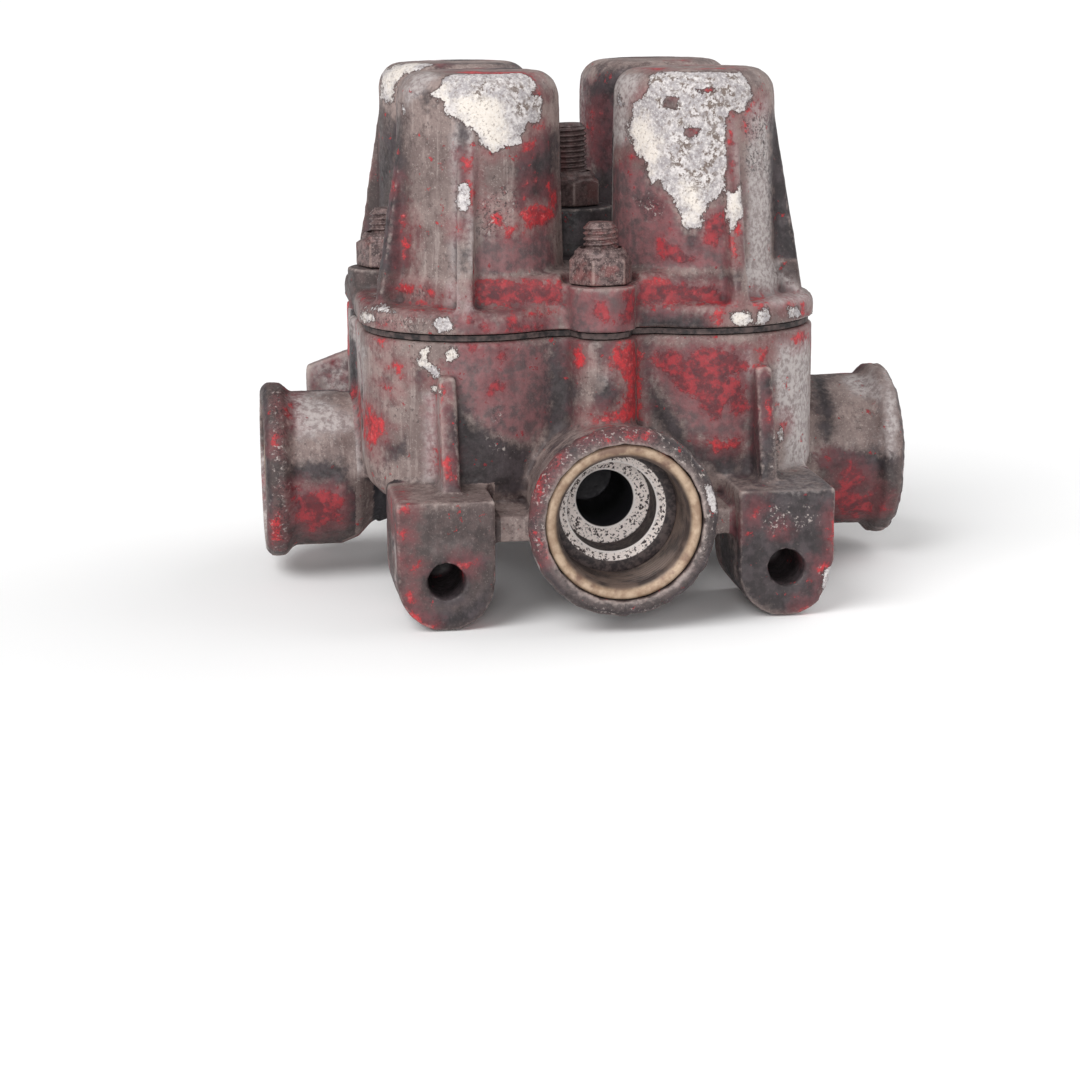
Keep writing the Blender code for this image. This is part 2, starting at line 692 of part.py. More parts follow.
def make_gasket():
    cut = shape_group("gasket_cut")
    rings = [(-JOINT_HALF, GASKET_INSET), (JOINT_HALF, GASKET_INSET)]
    mesh = lobed_plate("joint_gasket", rings, boss=SIDE_BOSS - GASKET_INSET)
    gasket = place(mesh, "joint_gasket", VALVE, "gasket")
    for name, signs in CIRCUITS.items():
        ends = (circuit_centre(signs, -PAST), circuit_centre(signs, PAST))
        rod(f"rim_hole_{name}", *ends, DIAPHRAGM_RIM + GAP, cut)
    for name, (x, y), _, _ in stud_places():
        rod(f"gasket_hole_{name}", (x, y, -PAST), (x, y, PAST), STUD_HOLE + GAP, cut, sides=12)
    boolean(gasket, "DIFFERENCE", cut)


def make_nut_mesh():
    """A hexagon nut with a round locking collar on top, its base at height 0."""
    joined = shape_group("nut_joined")
    cut = shape_group("nut_cut")
    bm = bmesh.new()
    half = NUT_HEX_HEIGHT / 2
    radius = NUT_FLATS / 2 / math.cos(math.radians(30))
    bmesh.ops.create_cone(
        bm,
        cap_ends=True,
        segments=6,
        radius1=radius,
        radius2=radius,
        depth=NUT_HEX_HEIGHT,
        matrix=Matrix.Translation((0, 0, half)),
    )
    hexagon = place(finished(bm, "nut_hexagon"), "nut_hexagon", SHAPES)
    collar = [
        (0, NUT_HEIGHT),
        (NUT_COLLAR - NUT_CHAMFER, NUT_HEIGHT),
        (NUT_COLLAR, NUT_HEIGHT - NUT_CHAMFER),
        (NUT_COLLAR, half),
        (0, half),
    ]
    turned("nut_collar", collar, joined, sides=16)
    rod("nut_hole", (0, 0, -PAST), (0, 0, NUT_HEIGHT + PAST), STUD_HOLE, cut, sides=12)
    boolean(hexagon, "UNION", joined)
    boolean(hexagon, "DIFFERENCE", cut)
    bpy.context.view_layer.update()
    graph = bpy.context.evaluated_depsgraph_get()
    mesh = bpy.data.meshes.new_from_object(hexagon.evaluated_get(graph))
    mesh.name = "nut"
    mesh.materials.clear()
    mesh.materials.append(MATERIALS["rusty_steel"])
    return mesh


def make_fasteners():
    nut = make_nut_mesh()
    for name, (x, y), boss_top, stud_top in stud_places():
        stud = [
            (0, stud_top),
            (STUD - STUD_CHAMFER, stud_top),
            (STUD, stud_top - STUD_CHAMFER),
            (STUD, STUD_ROOT),
            (0, STUD_ROOT),
        ]
        turned(f"stud_{name}", stud, VALVE, "rusty_steel", sides=12, at=(x, y, 0))
        obj = place(nut, f"nut_{name}", VALVE, "rusty_steel")
        obj.location = (x, y, boss_top + GAP)
        obj.rotation_euler.z = math.radians(NUT_TURNS[name])


def bush_profile(outer, inner, length, mouth):
    """A ring with a chamfered bore, whose outer end is at mouth."""
    return [
        (inner + BUSH_CHAMFER, mouth),
        (outer, mouth),
        (outer, mouth - length),
        (inner, mouth - length),
        (inner, mouth - BUSH_CHAMFER),
        (inner + BUSH_CHAMFER, mouth),
    ]


def make_bushes():
    for name, (x, y) in SIDES.items():
        ring = bush_profile(BUSH_OUTER, BUSH_INNER, BUSH_LENGTH, PORT_REACH[name] - BUSH_RECESS)
        turned(f"port_bush_{name}", ring, VALVE, "brass", 20, (0, 0, PORT_HEIGHT), (x, y, 0))
    mouth = SUPPLY_REACH - BUSH_RECESS
    ring = bush_profile(SUPPLY_BUSH_OUTER, SUPPLY_BUSH_INNER, SUPPLY_BUSH_LENGTH, mouth)
    turned("port_bush_supply", ring, VALVE, "brass", 16, (SUPPLY_X, 0, SUPPLY_HEIGHT), REAR)


def coil_share(turns, end_share):
    """How far up the coil is after this many turns, from 0 to 1. Its two end turns are wound close."""
    from_end = min(turns, SPRING_TURNS - turns)
    if from_end >= 1:
        return end_share + (turns - 1) / (SPRING_TURNS - 2) * (1 - 2 * end_share)
    return end_share * from_end if turns < 1 else 1 - end_share * from_end


def make_spring(name, centre):
    low = PLATE_TOP + GAP + SPRING_WIRE
    high = CAP_BOTTOM - GAP - SPRING_WIRE
    close_turn = CLOSE_TURN * SPRING_WIRE
    curve = bpy.data.curves.new(name, "CURVE")
    curve.dimensions = "3D"
    curve.bevel_depth = SPRING_WIRE
    curve.bevel_resolution = 1
    curve.use_fill_caps = True
    curve.materials.append(MATERIALS["spring_steel"])
    spline = curve.splines.new("POLY")
    spline.points.add(round(SPRING_TURNS * SPRING_POINTS))
    for index, point in enumerate(spline.points):
        turns = index / SPRING_POINTS
        share = coil_share(turns, close_turn / (high - low))
        point.co = (*around(SPRING_RADIUS, math.tau * turns, low + share * (high - low)), 1)
    obj = bpy.data.objects.new(name, curve)
    VALVE.objects.link(obj)
    obj.parent = AXIS
    obj.location = centre


def head_profile():
    """A flat disc that closes the seat, and the stem that guides it in the seat's bore."""
    stem_end = HEAD_BOTTOM - STEM_LENGTH
    return [
        (0, HEAD_TOP),
        (HEAD_RADIUS, HEAD_TOP),
        (HEAD_RADIUS, HEAD_BOTTOM),
        (STEM_RADII[0], HEAD_BOTTOM),
        (STEM_RADII[1], stem_end),
        (0, stem_end),
    ]


def diaphragm_profile():
    """A disc whose middle is dished below its rim, which lies between the castings."""
    return [
        (0, WEB_OVER),
        (BORE - SLOPE_OVER[0], WEB_OVER),
        (BORE - SLOPE_OVER[1], JOINT_HALF),
        (DIAPHRAGM_RIM, JOINT_HALF),
        (DIAPHRAGM_RIM, -JOINT_HALF),
        (BORE - SLOPE_UNDER[0], -JOINT_HALF),
        (BORE - SLOPE_UNDER[1], WEB_UNDER),
        (0, WEB_UNDER),
    ]


def plate_profile():
    """The disc that the spring stands on, with a peg inside the coil."""
    return [
        (0, PLATE_TOP + GUIDE_LENGTH),
        (GUIDE_RADII[0], PLATE_TOP + GUIDE_LENGTH),
        (GUIDE_RADII[1], PLATE_TOP),
        (PLATE_RADIUS, PLATE_TOP),
        (PLATE_RADIUS, PLATE_BOTTOM),
        (0, PLATE_BOTTOM),
    ]


def cap_profile():
    """The disc between the spring and the dome's ceiling, with a peg inside the coil."""
    return [
        (0, CAP_TOP),
        (CAP_RADIUS, CAP_TOP),
        (CAP_RADIUS, CAP_BOTTOM),
        (GUIDE_RADII[1], CAP_BOTTOM),
        (GUIDE_RADII[0], CAP_BOTTOM - GUIDE_LENGTH),
        (0, CAP_BOTTOM - GUIDE_LENGTH),
    ]


def make_circuit(name, signs):
    centre = circuit_centre(signs)
    turned(f"valve_head_{name}", head_profile(), VALVE, "rubber", 16, centre)
    turned(f"diaphragm_{name}", diaphragm_profile(), VALVE, "rubber", 20, centre)
    turned(f"diaphragm_plate_{name}", plate_profile(), VALVE, "plate", 20, centre)
    turned(f"spring_seat_{name}", cap_profile(), VALVE, "seat_plastic", 20, centre)
    make_spring(f"pressure_spring_{name}", centre)


make_cover()
make_housing()
make_gasket()
make_fasteners()
make_bushes()
for circuit_name, circuit_signs in CIRCUITS.items():
    make_circuit(circuit_name, circuit_signs)
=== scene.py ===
"""The looks of a four-circuit protection valve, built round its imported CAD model.

Sizes are in millimetres in the valve's own frame: the axis of the centre stud, with height 0 at the joint between
the two castings and the front towards -Y. Everything is moved to the row's frame when its mesh is made.
"""

import math

import bmesh
import bpy
import numpy as np
from mathutils import Matrix, Vector


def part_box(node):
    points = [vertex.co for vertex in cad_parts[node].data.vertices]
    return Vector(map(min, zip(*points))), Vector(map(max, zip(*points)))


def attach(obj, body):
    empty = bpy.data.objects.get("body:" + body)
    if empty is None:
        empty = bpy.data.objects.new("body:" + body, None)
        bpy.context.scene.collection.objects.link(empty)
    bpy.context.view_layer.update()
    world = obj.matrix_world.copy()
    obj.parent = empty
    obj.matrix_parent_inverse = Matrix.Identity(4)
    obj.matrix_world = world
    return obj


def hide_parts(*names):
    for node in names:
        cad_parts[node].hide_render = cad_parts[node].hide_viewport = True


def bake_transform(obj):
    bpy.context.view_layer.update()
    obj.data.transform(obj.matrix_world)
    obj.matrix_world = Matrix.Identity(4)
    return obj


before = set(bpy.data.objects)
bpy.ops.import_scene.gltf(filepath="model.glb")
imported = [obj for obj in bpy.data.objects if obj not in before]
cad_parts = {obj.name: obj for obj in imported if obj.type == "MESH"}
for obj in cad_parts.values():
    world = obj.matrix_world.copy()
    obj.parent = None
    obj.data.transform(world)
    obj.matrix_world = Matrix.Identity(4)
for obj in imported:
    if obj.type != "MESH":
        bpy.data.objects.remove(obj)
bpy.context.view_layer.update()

MM = 0.001
TINY = 1e-9
ORIGIN = np.array([-1.55, 0.0, 63.2])  # of the valve's own frame, in the row's frame

SIDES = {"front": (0, -1), "right": (1, 0), "rear": (0, 1), "left": (-1, 0)}
CIRCUITS = ("front_left", "front_right", "rear_right", "rear_left")
CIRCUIT = 25.3  # offset of each circuit's axis from the middle, in X and in Y
GAP = 0.3  # between solids that touch
DOME_SHOULDER = 18.8
PLINTH_TOP = 13.0

# Ports, their bushes and the bores behind them
PORT_REACH = {"front": 77.0, "right": 79.6, "rear": 77.0, "left": 76.5}
PORT_HEIGHT = -38.0
PORT_ROOT = 17.0  # how far out the bore behind a bush starts
PORT_NECK = 18.5
BUSH_RECESS = 0.9
BUSH_OUTER = 17.5
BUSH_INNER = 14.4
BUSH_LENGTH = 15.6
BUSH_BORE = 17.8
SUPPLY_PORT = (30.0, 0, -14.0)
SUPPLY_REACH = 70.0
SUPPLY_BUSH_OUTER = 8.9
SUPPLY_BUSH_INNER = 7.2
SUPPLY_BUSH_LENGTH = 11.0

# Mounting lugs
LUG_HOLES = (-38.5, 38.5)
LUG_HOLE = 5.4  # radius of the hole with the dark ring round it
LUG_HOLE_HEIGHT = -51.7
LUG_FRONT = -30.0

# Studs and nuts: each stud's place, the height of its boss, its top and its nut's turn in degrees
STUDS = {
    "centre": ((0, 0), 24.6, 44.4, 29),
    "front": ((0, -45), 11.0, 25.0, 7),
    "right": ((45, 0), 11.0, 25.0, 40),
    "rear": ((0, 45), 11.0, 25.0, 16),
    "left": ((-45, 0), 11.0, 25.0, 52),
}
STUD = 4.0
STUD_ROOT = -19.0
STUD_PITCH = 1.25
STUD_THREAD = 0.62
NUT_FLATS = 13.0
NUT_CORNERS = 7.4  # radius at the worn corners
NUT_HEIGHT = 8.0
NUT_GRIP = 4.0  # how much of a stud is hidden in its nut

# Springs and diaphragms
SPRING_WIRE = 1.35
SPRING_TURNS = 5.5
CLOSE_TURN = 3.0  # rise of the first and of the last turn, which are wound close
GROUND = 0.65 * SPRING_WIRE  # how far the coil's two ends are ground flat
WEB_THICK = 1.2
WEB_MIDDLE = 4.0
RUBBER_ROUND = 0.3
UPPER_SLOPE = (12.5, 13.2)  # radii between which the diaphragm rises from its web to its rim, above and below
UNDER_SLOPE = (13.8, 14.5)

# The castings' skins
VOXEL = 0.65
SMOOTH = 0.5  # how far a point moves towards its neighbours in one round, and where the CAD's shape is kept
HOLD = 0.12
ROUNDS = 4
FAR = -8.0  # what a paint field holds where there is nothing of its layer


# ---------------------------------------------------------------- numbers


def smoothstep(value, low, high):
    t = np.clip((value - low) / (high - low), 0, 1)
    return t * t * (3 - 2 * t)


def lattice(cells, seed):
    """A fixed pseudo-random number from 0 to 1 for each cell of a grid."""
    whole = 0xFFFFFFFF
    mixed = cells[:, 0] * 73856093 ^ cells[:, 1] * 19349663 ^ cells[:, 2] * 83492791
    mixed = mixed ^ (seed * 2654435761 & 0xFFFFFFF)
    mixed = (mixed ^ (mixed >> 13)) & whole
    mixed = (mixed * 1274126177) & whole
    mixed = (mixed ^ (mixed >> 16)) & whole
    return mixed / whole


def noise(points, size, seed=0, octaves=1):
    """Smooth noise from about -1 to 1 at these points. Size is the width of its largest lumps."""
    total = np.zeros(len(points))
    weight = 1.0
    for octave in range(octaves):
        scaled = points / size * 2**octave + 17.3 * octave
        cell = np.floor(scaled).astype(np.int64)
        part = scaled - cell
        part = part * part * (3 - 2 * part)
        value = np.zeros(len(points))
        for corner in range(8):
            step = np.array([corner & 1, corner >> 1 & 1, corner >> 2 & 1])
            share = np.prod(np.where(step, part, 1 - part), axis=1)
            value += share * lattice(cell + step, seed + 31 * octave)
        total += weight * (2 * value - 1)
        weight /= 2
    return total


# ---------------------------------------------------------------- objects


def cad_box(node):
    """Lowest and highest corner of a CAD node, in the valve's own frame."""
    return [np.array(corner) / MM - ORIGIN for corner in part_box(node)]


def new_object(name, mesh, material, node=None, body="body"):
    """An object that rides on a body of the frame, or on none yet, and may stand for a CAD node."""
    obj = bpy.data.objects.new(name, mesh)
    bpy.context.scene.collection.objects.link(obj)
    mesh.materials.clear()
    mesh.materials.append(material)
    mesh.shade_smooth()
    if body:
        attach(obj, body)
    if node:
        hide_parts(node)
    return obj


def mesh_from(name, points, faces):
    mesh = bpy.data.meshes.new(name)
    mesh.from_pydata(((points + ORIGIN) * MM).tolist(), [], faces)
    mesh.update()
    return mesh


def fill(mesh, name, values):
    """A paint field of a mesh: one number for all of it, or one for each point."""
    attribute = mesh.attributes.new(name, "FLOAT", "POINT")
    values = np.broadcast_to(np.asarray(values, np.float32), len(mesh.vertices))
    attribute.data.foreach_set("value", np.ascontiguousarray(values))


def ring_faces(rows, columns, close_rows=False):
    """Quads of a grid whose columns run round a ring. With close_rows its last row joins its first."""
    faces = []
    for row in range(rows if close_rows else rows - 1):
        near = row * columns
        far = (row + 1) % rows * columns
        for column in range(columns):
            beside = (column + 1) % columns
            faces.append((near + column, near + beside, far + beside, far + column))
    return faces


def turned_points(radii, heights, columns):
    """Points of a surface of revolution. Radii may be one number per row, or rows by columns."""
    angles = np.arange(columns) * math.tau / columns
    radii = np.asarray(radii, float)
    if radii.ndim == 1:
        radii = np.repeat(radii[:, None], columns, axis=1)
    heights = np.broadcast_to(np.asarray(heights, float).reshape(len(radii), -1), radii.shape)
    x = radii * np.cos(angles)
    y = radii * np.sin(angles)
    return np.stack([x, y, heights], axis=2).reshape(-1, 3)


def aimed(points, direction, at):
    """Turns a shape made along +Z so that it points this way, and moves it to its place."""
    turn = np.array(Vector(direction).to_track_quat("Z", "Y").to_matrix())
    return points @ turn.T + np.asarray(at, float)


def thread(heights, pitch, depth, columns):
    """How far below its crest a thread's surface is, in rows by columns."""
    turn = np.arange(columns) / columns
    phase = (heights[:, None] / pitch - turn) % 1.0
    return depth * smoothstep(np.abs(phase - 0.5) * 2, 0.12, 0.88)


# ---------------------------------------------------------------- materials


def srgb(red, green, blue):
    """A linear colour from the usual 0 to 255 numbers, none of them near 0."""
    return tuple(((channel / 255 + 0.055) / 1.055) ** 2.4 for channel in (red, green, blue))


class Shader:
    """Builds a node material with short calls. Coordinates are the object's own, in metres."""

    def __init__(self, name):
        self.material = bpy.data.materials.new(name)
        self.material.use_nodes = True
        self.tree = self.material.node_tree
        self.surface = self.tree.nodes["Principled BSDF"]
        self.place = self.tree.nodes.new("ShaderNodeTexCoord").outputs["Object"]

    def put(self, socket, value):
        if isinstance(value, bpy.types.NodeSocket):
            self.tree.links.new(value, socket)
        elif isinstance(value, tuple) and socket.type == "RGBA":
            socket.default_value = (*value, 1)
        else:
            socket.default_value = value

    def noise(self, size, detail, rough, seed, place=None):
        """Noise whose lumps are about size millimetres wide."""
        node = self.tree.nodes.new("ShaderNodeTexNoise")
        node.noise_dimensions = "4D"
        node.inputs["W"].default_value = seed
        node.inputs["Scale"].default_value = 1 / (size * MM)
        node.inputs["Detail"].default_value = detail
        node.inputs["Roughness"].default_value = rough
        self.put(node.inputs["Vector"], place or self.place)
        return node.outputs["Fac"]

    def streaks(self, width, length, seed):
        """Noise drawn out along the height: lumps of this width and length in millimetres."""
        stretch = self.tree.nodes.new("ShaderNodeVectorMath")
        stretch.operation = "MULTIPLY"
        stretch.inputs[1].default_value = (1, 1, width / length)
        self.put(stretch.inputs[0], self.place)
        return self.noise(width, 4, 0.6, seed, stretch.outputs[0])

    def attribute(self, name):
        node = self.tree.nodes.new("ShaderNodeAttribute")
        node.attribute_name = name
        return node.outputs["Fac"]

    def math(self, operation, first, second):
        node = self.tree.nodes.new("ShaderNodeMath")
        node.operation = operation
        self.put(node.inputs[0], first)
        self.put(node.inputs[1], second)
        return node.outputs[0]

    def add(self, first, second):
        return self.math("ADD", first, second)

    def times(self, first, second):
        return self.math("MULTIPLY", first, second)

    def step(self, value, low, high, out_low=0.0, out_high=1.0):
        """Smooth step of value between low and high."""
        node = self.tree.nodes.new("ShaderNodeMapRange")
        node.interpolation_type = "SMOOTHSTEP"
        self.put(node.inputs["Value"], value)
        node.inputs["From Min"].default_value = low
        node.inputs["From Max"].default_value = high
        node.inputs["To Min"].default_value = out_low
        node.inputs["To Max"].default_value = out_high
        return node.outputs["Result"]

    def mix(self, factor, first, second):
        node = self.tree.nodes.new("ShaderNodeMix")
        node.data_type = "RGBA"
        self.put(node.inputs["Factor"], factor)
        colours = [socket for socket in node.inputs if socket.type == "RGBA"]
        self.put(colours[0], first)
        self.put(colours[1], second)
        return next(socket for socket in node.outputs if socket.type == "RGBA")

    def tones(self, value, low, high, first, second):
        """One tone where value is below low, the other where it is above high."""
        return self.mix(self.step(value, low, high), first, second)

    def coat(self, colour, mask, strength, tone):
        """A colour with a tone over it, as strong as this where the mask is 1."""
        return self.mix(self.times(mask, strength), colour, tone)

    def flecks(self, colour, value, low, high, strength, tone):
        """A colour with flecks of a tone over it, where value is past low and on towards high."""
        return self.coat(colour, self.step(value, low, high), strength, tone)

    def ragged(self, layer, low, high, *waves):
        """The mask of a paint layer. Waves are (noise, millimetres) pairs that make its edge ragged."""
        depth = self.attribute(layer)
        for wave, reach in waves:
            depth = self.add(depth, self.times(self.math("SUBTRACT", wave, 0.5), 4 * reach))
        return self.step(depth, low, high)

    def bump(self, height, distance):
        node = self.tree.nodes.new("ShaderNodeBump")
        node.inputs["Strength"].default_value = 1.0
        node.inputs["Distance"].default_value = distance * MM
        self.put(node.inputs["Height"], height)
        return node.outputs["Normal"]

    def finish(self, colour, roughness, metallic, normal=None, specular=None):
        self.put(self.surface.inputs["Base Color"], colour)
        self.put(self.surface.inputs["Roughness"], roughness)
        self.put(self.surface.inputs["Metallic"], metallic)
        if normal:
            self.put(self.surface.inputs["Normal"], normal)
        if specular is not None:
            self.put(self.surface.inputs["Specular IOR Level"], specular)
        return self.material


# ---------------------------------------------------------------- worn paint

